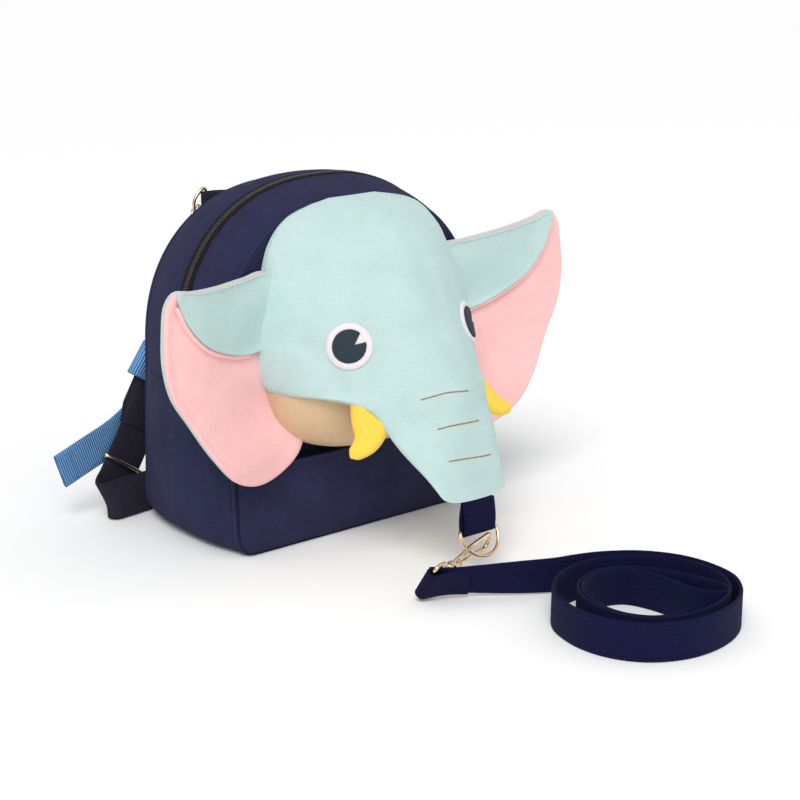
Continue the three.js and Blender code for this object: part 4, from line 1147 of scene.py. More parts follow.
@dataclass
class Head:
    """The stuffed head and trunk, its chin, eyes, tusks and sewn creases."""

    outline: Outline
    half_width: float = 88.5
    top: float = 235.0
    reach: float = 124.0
    chin_depth: float = 56.0
    eye_spread: float = 51.0
    eye_height: float = 149.5
    eye_diameter: float = 30.5
    pupil_diameter: float = 22.0
    patch: float = 0.9
    tip_corner: float = 7.0
    tusk_length: float = 33.0
    tusk_root: float = 37.0
    tusk_thick: float = 12.0
    slices: tuple[Slice, ...] = (
        Slice(0.22, 0.996, 0.0, 0.998, 0.03, 0.0, 2.0),
        Slice(0.52, 0.972, 0.0, 0.98, 0.13, 0.0, 1.5),
        Slice(0.69, 0.938, 0.0, 0.95, 0.25, 0.0, 1.45),
        Slice(0.81, 0.883, 0.0, 0.9, 0.38, 0.0, 1.5),
        Slice(0.88, 0.809, 0.0, 0.835, 0.49, 0.0, 1.55),
        Slice(0.945, 0.723, 0.0, 0.758, 0.575, 0.0, 1.58),
        Slice(0.99, 0.638, 0.0, 0.677, 0.635, 0.0, 1.6),
        Slice(1.0, 0.574, 0.0, 0.613, 0.69, 0.0, 1.6),
        Slice(0.98, 0.516, 0.005, 0.56, 0.735, 0.0, 1.65),
        Slice(0.93, 0.484, 0.05, 0.523, 0.775, 0.02, 1.7),
        Slice(0.8, 0.482, 0.27, 0.502, 0.805, 0.06, 1.68),
        Slice(0.63, 0.477, 0.49, 0.47, 0.83, 0.09, 1.66),
        Slice(0.53, 0.45, 0.61, 0.43, 0.852, 0.08, 1.75),
        Slice(0.44, 0.36, 0.757, 0.352, 0.9, 0.05, 2.2),
        Slice(0.35, 0.289, 0.893, 0.283, 0.955, 0.03, 2.2),
        Slice(0.295, 0.232, 0.985, 0.226, 1.003, 0.012, 2.2),
    )
    creases: tuple[tuple[Point, ...], ...] = (
        ((-21.1, 116.8), (-11.3, 118.2), (-1.3, 118.8), (17.6, 116.2)),
        ((-15.5, 98.2), (-4.3, 98.9), (20.5, 97.1)),
        ((-13.8, 78.4), (-3.5, 77.9), (22.8, 75.5)),
    )
    cheek_fold: tuple[Point, ...] = ((-69.3, 146.3), (-64.5, 134.1), (-59.4, 118.2))
    tusk_tips: dict[Side, Point] = field(
        default_factory=lambda: {Side.LEFT: (-61, -122, 77), Side.RIGHT: (71, -129, 91)}
    )
    body: BVHTree | None = None

    def slice_at(self, t: float) -> Slice:
        """Returns the slice at a place down the table, on a smooth curve through each column."""
        last = len(self.slices) - 1
        i = min(last - 1, int(t))
        f = t - i
        values = []
        for name in Slice.__dataclass_fields__:
            a, b, c, d = (getattr(self.slices[min(last, max(0, i + k))], name) for k in (-1, 0, 1, 2))
            m0, m1 = (c - a) / 2, (d - b) / 2
            value = (2 * f**3 - 3 * f**2 + 1) * b + (f**3 - 2 * f**2 + f) * m0
            value += (3 * f**2 - 2 * f**3) * c + (f**3 - f**2) * m1
            values.append(max(0.0, value) if name in ("edge_out", "back") else value)
        return Slice(*values)

    def ring(self, cut: Slice, closing: float, sides: int, backs: int) -> list[tuple[float, float, float]]:
        """Returns one slice's ring of places: the front from left to right, then the back.

        Args:
            cut: The slice.
            closing: How much narrower its half is made, for the trunk's round corners.
            sides: How many steps the front has.
            backs: How many steps the back has.

        Returns:
            The places of the ring.
        """
        half = cut.width * self.half_width - closing
        edge_z, ridge_z = cut.edge_height * self.top, cut.ridge_height * self.top
        edge_y = self.outline.front(edge_z) - GAP - cut.edge_out * self.reach
        ridge_y = self.outline.front(ridge_z) - GAP - cut.ridge_out * self.reach
        ring = []
        for k in range(sides + 1):
            a = math.pi * k / sides
            out = max(0.0, math.sin(a)) ** (2 / cut.power)
            x = -half * math.copysign(abs(math.cos(a)) ** (2 / cut.power), math.cos(a))
            ring.append((x, mix(edge_y, ridge_y, out), mix(edge_z, ridge_z, out)))
        for k in range(1, backs):
            a = math.pi * k / backs
            ring.append((half * math.cos(a), edge_y + cut.back * self.reach * math.sin(a), edge_z))
        return ring

    def dent(self, x: float, z: float) -> float:
        """Returns how far the cloth sinks at the soft fold under the eye, on both cheeks."""
        path = np.array([(abs(px), pz) for px, pz in self.cheek_fold])
        best = min(math.hypot(abs(x) - px, z - pz) for px, pz in evenly_flat(path, 12))
        return 2.4 * math.exp(-((best / 7.5) ** 2))

    def corner(self, left: float) -> float:
        """Returns how much the trunk's half width gives way, for the share of a slice left to its end."""
        u = min(1.0, max(0.0, 1 - left / 0.42))
        return self.tip_corner * (1 - math.sqrt(max(0.0, 1 - u**2)))

    def skin_net(self) -> np.ndarray:
        """Returns the head's net: smooth slices with fullness, small creases and the cheek folds."""
        last = len(self.slices) - 1
        places = [*np.linspace(0, last - 0.5, 150), *np.linspace(last - 0.47, last, 16)]
        rows = [self.ring(self.slice_at(t), self.corner(last - t), 110, 24) for t in places]
        net = np.array(rows)
        down, over = np.gradient(net, axis=0), np.gradient(net, axis=1)
        normal = np.cross(down, over)
        normal /= np.maximum(np.linalg.norm(normal, axis=2, keepdims=True), 1e-9)
        middle = net.mean(axis=1, keepdims=True)
        facing = np.sign((normal * (net - middle)).sum(axis=2, keepdims=True))
        normal *= facing
        for i in range(net.shape[0]):
            for j in range(111):
                x, y, z = net[i, j]
                edge = min(j, 110 - j) / 110
                near = math.exp(-edge / 0.035)
                lift = 0.9 * ripple(x, y, z, 42, 1.7) + 0.35 * ripple(x, y, z, 15, 8.8)
                lift += 0.7 * near * ripple(x, y, z * 3, 9, 2.2)
                lift -= self.dent(x, z)
                ends = min(1.0, i / 6, (net.shape[0] - 1 - i) / 4) * min(1.0, edge / 0.02)
                net[i, j] += normal[i, j] * lift * ends
        return net

    def skin(self) -> None:
        """Builds the head and trunk with the stitches along its side seams."""
        net = self.skin_net()
        piece = surface("stuffed_head", net, wrap=True, capped=True, size=(330, 320))
        dress(piece, MINT, "mint_cotton")
        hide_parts("head")
        points = [v.co.copy() / MM for v in piece.data.vertices]
        self.body = BVHTree.FromPolygons(points, [tuple(f.vertices) for f in piece.data.polygons])
        rows = slice(6, 92)
        for name, column, step in (("left", 4, 1), ("right", 106, -1)):
            line = net[rows, column]
            normals = np.array([self.normal_at(p) for p in line])
            row = stitches(f"head_stitches_{name}", line + normals * 0.1, normals, pitch=3.0, thread=0.5)
            dress(row, MINT_THREAD, "mint_cotton")

    def normal_at(self, place: Point) -> np.ndarray:
        """Returns the head's outward direction nearest to a place."""
        _, normal, _, _ = self.body.find_nearest(Vector(place))
        return np.array(normal)

    def on_face(self, x: float, z: float) -> tuple[np.ndarray, np.ndarray]:
        """Returns the place and outward direction of the head's front at X and Z."""
        spot, normal, _, _ = self.body.ray_cast(Vector((x, -400.0, z)), Vector((0, 1, 0)))
        return np.array(spot), np.array(normal)

    def sew_creases(self) -> None:
        """Builds the brown thread lines across the trunk."""
        for k, points in enumerate(self.creases):
            flat = curve([(x, 0, z) for x, z in points], 40)
            spots = [self.on_face(x, z) for x, _, z in flat]
            path = np.array([place + normal * 0.15 for place, normal in spots])
            normals = np.array([normal for _, normal in spots])
            row = stitches(f"trunk_crease_{k}", path, normals, pitch=2.3, share=1.15, thread=0.95)
            dress(row, BROWN_THREAD, "tan_cotton")

    def chin(self) -> None:
        """Builds the full chin below the head."""
        table = (
            (0.24, 0.276, 0.14),
            (0.42, 0.286, 0.36),
            (0.62, 0.312, 0.62),
            (0.8, 0.352, 0.86),
            (0.9, 0.405, 0.98),
            (0.93, 0.46, 1.02),
            (0.93, 0.5, 1.0),
        )
        path = curve(table, 40)
        rows = []
        for width, height, out in path:
            z = height * self.top
            y = self.outline.front(z) - GAP
            row = []
            for a in np.linspace(0, math.pi, 90):
                x = -width * self.half_width * math.copysign(abs(math.cos(a)) ** 0.85, math.cos(a))
                reach = out * self.chin_depth * max(0.0, math.sin(a)) ** 0.85
                reach += 0.8 * ripple(x, reach, z, 22, 6.1) * math.sin(a)
                row.append((x, y - reach, z))
            rows.append(row)
        piece = surface("stuffed_chin", np.array(rows), wrap=True, capped=True, size=(260, 90))
        dress(piece, TAN, "tan_cotton")
        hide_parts("chin")
        line = np.array(rows)[9][4:86]
        normals = np.array([unit((p[0], p[1] + 58, -30)) for p in line])
        row = stitches("chin_stitches", line + normals * 0.2, normals, thread=0.5)
        dress(row, TAN_THREAD, "tan_cotton")

    def patch_on(
        self, name: str, side: Side, outline: np.ndarray, centre: Point, low: float, high: float
    ) -> Piece:
        """Makes a flat patch that follows the head.

        Args:
            name: The piece's name.
            side: The side of the face.
            outline: The patch's edge about the eye's middle, as X and Y.
            centre: A place inside the edge that sees all of it.
            low: The height of its underside over the cloth.
            high: The height of its face.

        Returns:
            The new object.
        """
        place, normal = self.on_face(side.sign * self.eye_spread, self.eye_height)
        level = square_to((1.0, 0.0, 0.0), normal)
        rise = np.cross(normal, level)
        rise = rise if rise[2] > 0 else -rise
        rows = []
        flat = [(f, high) for f in (0.985, 0.8, 0.5, 0.25, 0.0)]
        for f, height in [(1.0, low), (1.0, mix(low, high, 0.6)), *flat]:
            row = []
            for x, y in outline:
                x, y = mix(centre[0], x, f), mix(centre[1], y, f)
                start = place + level * x + rise * y + normal * 25
                spot, face, _, _ = self.body.ray_cast(Vector(start), Vector(-normal))
                if spot is None:
                    spot, face, _, _ = self.body.find_nearest(Vector(place + level * x + rise * y))
                row.append(np.array(spot) + np.array(face) * height)
            rows.append(row)
        return surface(name, np.array(rows), wrap=True, size=(90, 15), inside=place - normal * 40)

    def eyes(self) -> None:
        """Builds the felt eyes, each pupil with its wedge left out."""
        big, small = self.eye_diameter / 2, self.pupil_diameter / 2
        turns = np.linspace(0, 2 * math.pi, 64, endpoint=False)
        circle = np.array([(big * math.cos(a), big * math.sin(a)) for a in turns])
        arc = np.array([(small * math.cos(a), small * math.sin(a)) for a in np.linspace(0.64, 2 * math.pi, 54)])
        notch = (small * 0.3, 0.0)
        slope = [(mix(arc[-1][0], notch[0], t), mix(arc[-1][1], notch[1], t)) for t in (0.35, 0.7, 1.0)]
        slope += [(mix(notch[0], arc[0][0], t), mix(notch[1], arc[0][1], t)) for t in (0.3, 0.65)]
        pupil = np.vstack([arc, slope])
        for side in Side:
            white = self.patch_on(f"felt_eye_{side.value}", side, circle, (0, 0), 0.05, GAP + self.patch)
            dress(white, WHITE, "white_felt")
            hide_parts(f"eye_{side.value}")
            dark = self.patch_on(
                f"felt_pupil_{side.value}", side, pupil, (-small * 0.3, 0), GAP + self.patch, 2 * GAP + 1.6 * self.patch
            )
            dress(dark, SLATE, "slate_felt")
            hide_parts(f"pupil_{side.value}")

    def tusks(self) -> None:
        """Builds the two soft tusks out of the trunk's edge seams."""
        for side in Side:
            root = np.array([side.sign * 0.52 * self.half_width, -self.reach, 0.46 * self.top])
            reach = unit(np.array(self.tusk_tips[side], float) - root)
            end = root + reach * self.tusk_length
            bend = (root + end) / 2 + np.array([side.sign * -3, -4, -3])
            path = curve([root, bend, end], 26)
            seam = unit((side.sign * -0.38, -0.74, -0.56))
            rings = []
            for i, (place, way) in enumerate(zip(path, tangents(path))):
                f = i / (len(path) - 1)
                close = math.sqrt(max(0.0, 1 - ease((f - 0.86) / 0.14) ** 2) + 0.02)
                wide = self.tusk_root / 2 * mix(1, 0.2, f**0.8) * close
                deep = self.tusk_thick / 2 * mix(1, 0.35, f**1.2) * close
                w = unit(mix(seam, square_to(seam, way), ease(f / 0.6)))
                n = unit(np.cross(way, w))
                ring = []
                for a in np.linspace(0, 2 * math.pi, 36, endpoint=False):
                    c, s = math.cos(a), math.sin(a)
                    pinch = 1 - 0.35 * ease((abs(c) - 0.8) / 0.2)
                    ring.append(place + w * wide * c + n * deep * s * pinch)
                rings.append(ring)
            piece = surface(f"stuffed_tusk_{side.value}", np.array(rings), wrap=True, capped=True, size=(60, 40))
            dress(piece, YELLOW, "yellow_cotton")
            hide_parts(f"tusk_{side.value}")

    def build(self) -> None:
        """Builds the whole head."""
        self.skin()
        self.sew_creases()
        self.chin()
        self.eyes()
        self.tusks()


def evenly_flat(path: np.ndarray, count: int) -> list[tuple[float, float]]:
    """Returns places along a line of X and Z pairs."""
    whole = evenly(np.column_stack([path[:, 0], np.zeros(len(path)), path[:, 1]]), count)
    return [(x, z) for x, _, z in whole]


@dataclass
class Ear:
    """One ear: a mint back, a pink lining with a raised rim and a mint fold over its upper part."""

    outline: Outline
    side: Side
    reach: float = 170.0
    top: float = 203.0
    forward: float = 20.0
    layer: float = 2.4
    rim: float = 1.2
    tilt: float = 0.1
    lobe_rest: float = 12.0
    edge: tuple[Point, ...] = (
        (0.445, 0.94), (0.56, 0.947), (0.7, 0.957), (0.85, 0.977), (0.935, 0.992), (0.975, 0.96),
        (0.995, 0.87), (1.0, 0.77), (0.975, 0.665), (0.905, 0.56), (0.815, 0.43), (0.715, 0.33),
        (0.6, 0.285), (0.49, 0.29), (0.39, 0.34), (0.36, 0.41), (0.42, 0.5), (0.475, 0.6), (0.48, 0.75),
    )
    fold: tuple[Point, ...] = (
        (0.445, 0.94), (0.56, 0.947), (0.7, 0.957), (0.85, 0.977), (0.935, 0.992), (0.93, 0.95),
        (0.89, 0.875), (0.8, 0.79), (0.66, 0.728), (0.56, 0.705), (0.48, 0.71), (0.46, 0.83),
    )

    def out(self, x: float, z: float) -> float:
        """Returns how far the ear's middle sheet stands off the front panel."""
        swing = ease((x / self.reach - 0.45) / 0.5)
        lobe = ease((0.6 - z / self.top) / 0.25)
        return self.rim + self.forward * swing * (1 - 0.25 * lobe) + self.lobe_rest * lobe

    def place(self, x: float, z: float, lift: float) -> tuple[float, float, float]:
        """Returns a place on the ear for a place in its outline's plane."""
        sign = self.side.sign
        turned = z + sign * self.tilt * (x - 0.5 * self.reach)
        return sign * x, self.outline.front(turned) - self.out(x, z) - lift, turned

    def pleat(self, x: float, z: float) -> float:
        """Returns the height of the soft pleats that run out from the ear's root."""
        across = (z - 0.6 * self.top) / self.top
        root = 1 - ease((x / self.reach - 0.45) / 0.5)
        return 1.1 * math.sin(across * 26 + 2.5 * x / self.reach) * root + 0.9 * ripple(x, 0, z, 34, 3.3 + self.side.sign)

    def layer_net(self, table: Sequence[Point], near: float, far: float, roll: float) -> np.ndarray:
        """Returns the net of one padded layer.

        Args:
            table: The layer's edge, as shares of the ear's reach and top.
            near: The height of its underside over the middle sheet.
            far: The height of its face.
            roll: How much its edge stands up as a rim.

        Returns:
            Rows of places from the middle of the underside to the middle of the face.
        """
        loop = curve([(x * self.reach, 0, z * self.top) for x, z in table], 150, closed=True)[:-1]
        middle = loop.mean(axis=0)
        thick = far - near
        rows = []
        inner = (0.0, 0.15, 0.35, 0.55, 0.72, 0.84, 0.92, 0.96, 0.985, 0.996)
        for f in inner:
            rows.append([self.ear_point(p, middle, f, near, 0.0) for p in loop])
        rows.append([self.ear_point(p, middle, 1.0, near + thick * 0.5, 0.0) for p in loop])
        for f in reversed(inner):
            rim = roll * math.exp(-(((f - 0.965) / 0.03) ** 2)) - 0.35 * roll * math.exp(-(((f - 0.9) / 0.03) ** 2))
            rows.append([self.ear_point(p, middle, f, far + rim, 1 - f**10) for p in loop])
        return np.array(rows)

    def ear_point(
        self, p: np.ndarray, middle: np.ndarray, f: float, lift: float, soft: float
    ) -> tuple[float, float, float]:
        """Returns a place a share f of the way from the middle to the edge."""
        x, _, z = middle + (p - middle) * f
        return self.place(x, z, lift + soft * self.pleat(x, z))

    def build(self) -> None:
        """Builds the ear's three layers and its lip."""
        word = self.side.value
        step = self.layer
        for name, table, near, far, roll, finish, slot in (
            ("back", self.edge, 0.0, step, 0.0, MINT, "mint_cotton"),
            ("lining", self.edge, step + GAP, 2 * step, 1.3, PINK, "pink_cotton"),
            ("fold", self.fold, 2 * step + 2 * GAP, 3 * step + 1.2, 0.5, MINT, "mint_cotton"),
        ):
            net = self.layer_net(table, near, far, roll)
            piece = surface(f"ear_{name}_cloth_{word}", net, wrap=True, size=(480, 90), inside=(self.side.sign * 110, -60, 120))
            face_out(piece)
            dress(piece, finish, slot)
            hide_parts(f"ear_{name}_{word}")
        self.lip()

    def lip(self) -> None:
        """Builds the pink roll along the lower edge of the mint fold."""
        line = curve([(x * self.reach, 0, z * self.top) for x, z in self.fold[5:10]], 60)
        path = [self.place(x + 1.2 * t, z - 1.6, 2 * self.layer + 1.0) for (x, _, z), t in zip(line, np.linspace(1, 0, 61))]
        dress(tube(f"ear_lip_{self.side.value}", np.array(path), 3.6, sides=12), PINK, "pink_cotton")


@dataclass
class Strap:
    """The shoulder strap of one side with its lower web, slide, sleeve and free chest band."""

    outline: Outline
    side: Side
    strap_width: float = 38.0
    strap_pad: float = 7.0
    lower_width: float = 30.0
    lower_web: float = 2.4
    sleeve_height: float = 25.0
    sleeve_web: float = 1.6
    band_width: float = 26.0
    band_web: float = 1.8
    band_fold: float = 13.0
    slide_wire: float = 2.6
    top_width: float = 16.0
    top_wire: float = 2.4
    top_size: float = 19.0
    clip_width: float = 11.0
    tab_web: float = 1.6
    top_bar: Point = (-52.0, 53.5, 220.0)
    strap_path: tuple[Point, ...] = (
        (-66, 55, 199), (-60, 61, 182), (-54, 69, 158), (-58, 76, 132), (-68, 79, 112), (-78, 79.5, 97),
        (-88, 79.5, 80), (-101, 79, 58),
    )
    lower_path: tuple[Point, ...] = (
        (-95.5, 79.4, 67), (-101, 79, 55.3), (-110, 78, 41), (-122, 75, 25), (-133, 69, 17.5),
        (-137, 63.5, 16), (-133, 60.4, 15.6), (-122, 60.4, 15.6), (-109, 61.9, 15.6), (-98, 62.8, 15.6),
    )
    band_path: tuple[Point, ...] = (
        (-76, 88.2, 96), (-80, 90.5, 80), (-91, 91, 65.5), (-112, 86.5, 54.5), (-140, 81.5, 46), (-164, 78, 38.5),
    )

    def path(self, points: Sequence[Point], count: int) -> np.ndarray:
        """Returns a smooth path on this strap's side."""
        return mirrored(curve(points, count), self.side)

    def across(self, start: Point, end: Point, bend: float = 1.0) -> Across:
        """Returns a direction of width that turns from one to another along the strap."""
        flip = np.array([self.side.sign * -1.0, 1.0, 1.0])
        return lambda t: unit([mix(a, b, ease(t) ** bend) for a, b in zip(start, end)]) * flip

    def padded_strap(self) -> None:
        """Builds the padded shoulder strap."""
        path = self.path(self.strap_path, 90)
        across = self.across((-0.97, 0, 0.15), (-0.87, 0, 0.49))
        width = lambda t: mix(self.top_width + 2, self.strap_width, ease(t / 0.18)) * mix(1, 0.8, ease((t - 0.9) / 0.1))
        thick = lambda t: mix(2.4, self.strap_pad, ease(t / 0.12)) * mix(1, 0.5, ease((t - 0.93) / 0.07))
        piece = padded_band(f"padded_strap_{self.side.value}", path, across, width, thick, 4.4)
        dress(piece, STRAP_CLOTH, "strap_fabric")
        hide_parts(f"shoulder_strap_{self.side.value}")

    def lower(self) -> None:
        """Builds the webbing below the strap."""
        path = self.path(self.lower_path, 110)
        across = self.across((-0.87, 0, 0.49), (0, 0.05, 1), 1.5)
        piece = webbing(f"lower_web_{self.side.value}", path, across, self.lower_width, self.lower_web)
        dress(piece, STRAP_CLOTH, "strap_fabric")
        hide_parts(f"lower_strap_{self.side.value}")
        length_of(path) * MM

    def loop(self, path: np.ndarray, share: float, across: Across, wide: float, deep: float) -> np.ndarray:
        """Returns a rounded rectangle round a strap at a share of its path."""
        i = round(share * (len(path) - 1))
        way = tangents(path)[i]
        w = square_to(across(share), way)
        n = np.cross(way, w)
        r = min(wide, deep) * 0.42
        points = []
        for k, (a, b) in enumerate(((1, 1), (-1, 1), (-1, -1), (1, -1))):
            for turn in np.linspace(0, math.pi / 2, 4):
                angle = k * math.pi / 2 + turn
                points.append(
                    path[i] + w * (a * (wide / 2 - r) + r * math.cos(angle)) + n * (b * (deep / 2 - r) + r * math.sin(angle))
                )
        return curve(points, 64, closed=True)[:-1]

    def sleeve(self) -> None:
        """Builds the ribbed sleeve round the strap."""
        path = self.path(self.strap_path, 34)
        across = self.across((-0.97, 0, 0.15), (-0.87, 0, 0.49))
        wide = self.strap_width + self.sleeve_web + 6 * GAP + 4
        deep = self.strap_pad + self.sleeve_web + 4 * GAP + 1
        loop = self.loop(path, 0.7, across, wide, deep)
        way = tangents(path)[round(0.69 * 34)]
        middle = loop.mean(axis=0)
        rings = []
        half, thick = self.sleeve_height / 2, self.sleeve_web / 2
        end = half + thick * 0.7
        section = [
            (half, thick), (0, thick), (-half, thick), (-end, 0),
            (-half, -thick), (0, -thick), (half, -thick), (end, 0),
        ]
        for place, forward in zip(loop, tangents(loop, True)):
            out = np.cross(forward, way)
            out = out if np.dot(out, place - middle) > 0 else -out
            rings.append([place + way * a + out * b for a, b in section])
        rings.append(rings[0])
        size = (2 * self.sleeve_height, length_of(loop))
        piece = surface(f"ribbed_sleeve_{self.side.value}", np.array(rings), wrap=True, size=size)
        face_out(piece)
        dress(piece, BLUE_WEB, "blue_webbing")
        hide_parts(f"chest_sleeve_{self.side.value}")

    def chest_band(self) -> None:
        """Builds the free end of the chest webbing, its last stretch folded back."""
        path = self.path(self.band_path, 110)
        length = length_of(path)
        thick = lambda t: self.band_web * mix(1, 2.1, ease((t - 1 + self.band_fold / length) / 0.03))
        across = self.across((-0.82, 0, 0.57), (-0.37, 0, 0.93))
        piece = webbing(f"ribbed_band_{self.side.value}", path, across, self.band_width, thick)
        dress(piece, BLUE_WEB, "blue_webbing")
        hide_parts(f"chest_band_{self.side.value}")

    def wire(self, name: str, path: np.ndarray, node: str, diameter: float) -> None:
        """Builds a closed wire in place of a packed one."""
        word = self.side.value
        piece = tube(f"{name}_{word}", path, diameter, sides=14, closed=True)
        dress(piece, GOLD, "gold_metal")
        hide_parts(f"{node}_{word}")

    def slide(self) -> None:
        """Builds the wire slide on the lower webbing."""
        across = self.across((-0.87, 0, 0.49), (0, 0.05, 1), 1.5)
        room = self.slide_wire + 5 * GAP
        path = self.path(self.lower_path[1:], 44)
        loop = self.loop(path, 0.26, across, self.lower_width + room, self.lower_web + room)
        self.wire("slide_wire", loop, "slide", self.slide_wire)

    def top_tab(self) -> None:
        """Builds the sewn tab that holds the top ring."""
        x, y, z = self.top_bar
        r = self.top_wire / 2 + 1.6 * GAP + self.tab_web / 2
        behind = self.outline.rear(z) + GAP + self.tab_web / 2 + self.top_width * self.outline.rear_lean
        near = [(-27, behind, z), (-35, behind + 0.3, z), (-43, y - r - 1.2, z), (-49, y - r, z)]
        turn = [(x - r * math.sin(a), y - r * math.cos(a), z) for a in np.linspace(0, math.pi, 8)]
        far = [(-49, y + r, z), (-42, y + r - 1, z), (-34, behind + self.tab_web + GAP + 0.6, z)]
        path = self.path([*near, *turn, *far], 60)
        piece = webbing(f"sewn_tab_{self.side.value}", path, lambda _: (0, 0, 1), self.top_width, self.tab_web)
        dress(piece, STRAP_CLOTH, "strap_fabric")
        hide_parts(f"top_tab_{self.side.value}")
        length_of(path) * MM

    def top_ring(self) -> None:
        """Builds the ring in the top tab."""
        x, y, z = self.top_bar
        h = (self.top_size + self.top_wire) / 2
        shape = (
            (0, -0.85), (0, 0), (0, 0.85), (-1, 1), (-5, 0.8), (-9, 0.35), (-10, -0.1), (-8, -0.6), (-4, -0.95), (-1, -1)
        )
        loop = mirrored(curve([(x + a, y, z + b * h) for a, b in shape], 80, closed=True)[:-1], self.side)
        self.wire("top_wire", loop, "top_ring", self.top_wire)

    def top_clip(self) -> None:
        """Builds the clip between the top ring and the strap."""
        x, y, z = self.top_bar
        start = np.array([x - 6.2, y, z - 1.0])
        strap = curve(self.strap_path, 16)
        down = unit(strap[1] - strap[0])
        end = strap[0] - down * (self.top_wire / 2 + 1.5 * GAP)
        side = square_to((-0.97, 0, 0.15), down)
        along = unit(end - start)
        length = float(np.linalg.norm(end - start))
        across = unit(np.cross(along, (0.9, 0, 0.3)))
        half = (self.clip_width - self.top_wire) / 2
        at = lambda t, b: start + along * t * length + across * b * half
        shape = ((0, 0), (0.12, 0.8), (0.3, 0.9), (0.48, 0.3), (0.5, 0), (0.48, -0.3), (0.3, -0.9), (0.12, -0.8))
        flip = lambda path: mirrored(path, self.side)
        loop = tube("clip_loop", flip(curve([at(*p) for p in shape], 60, closed=True)[:-1]), self.top_wire, closed=True)
        barrel = tube("clip_barrel", flip(evenly(np.array([at(0.46, 0), at(0.76, 0)]), 6)), 2 * self.top_wire)
        w = self.top_width
        bar = tube("clip_bar", flip(evenly(np.array([at(1, 0) - side * w / 2, at(1, 0) + side * w / 2]), 8)), self.top_wire)
        bend = [at(1, 0) - side * w / 2.2, at(0.86, 0) - side * w / 3, at(0.74, 0), at(0.86, 0) + side * w / 3, at(1, 0) + side * w / 2.2]
        arms = tube("clip_arms", flip(curve(bend, 30)), self.top_wire)
        piece = join(f"clip_casting_{self.side.value}", [loop, barrel, bar, arms])
        dress(piece, GOLD, "gold_metal")
        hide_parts(f"top_clip_{self.side.value}")

    def build(self) -> None:
        """Builds one side's straps."""
        self.padded_strap()
        self.lower()
        self.sleeve()
        self.chest_band()
        self.slide()
        self.top_tab()
        self.top_ring()
        self.top_clip()


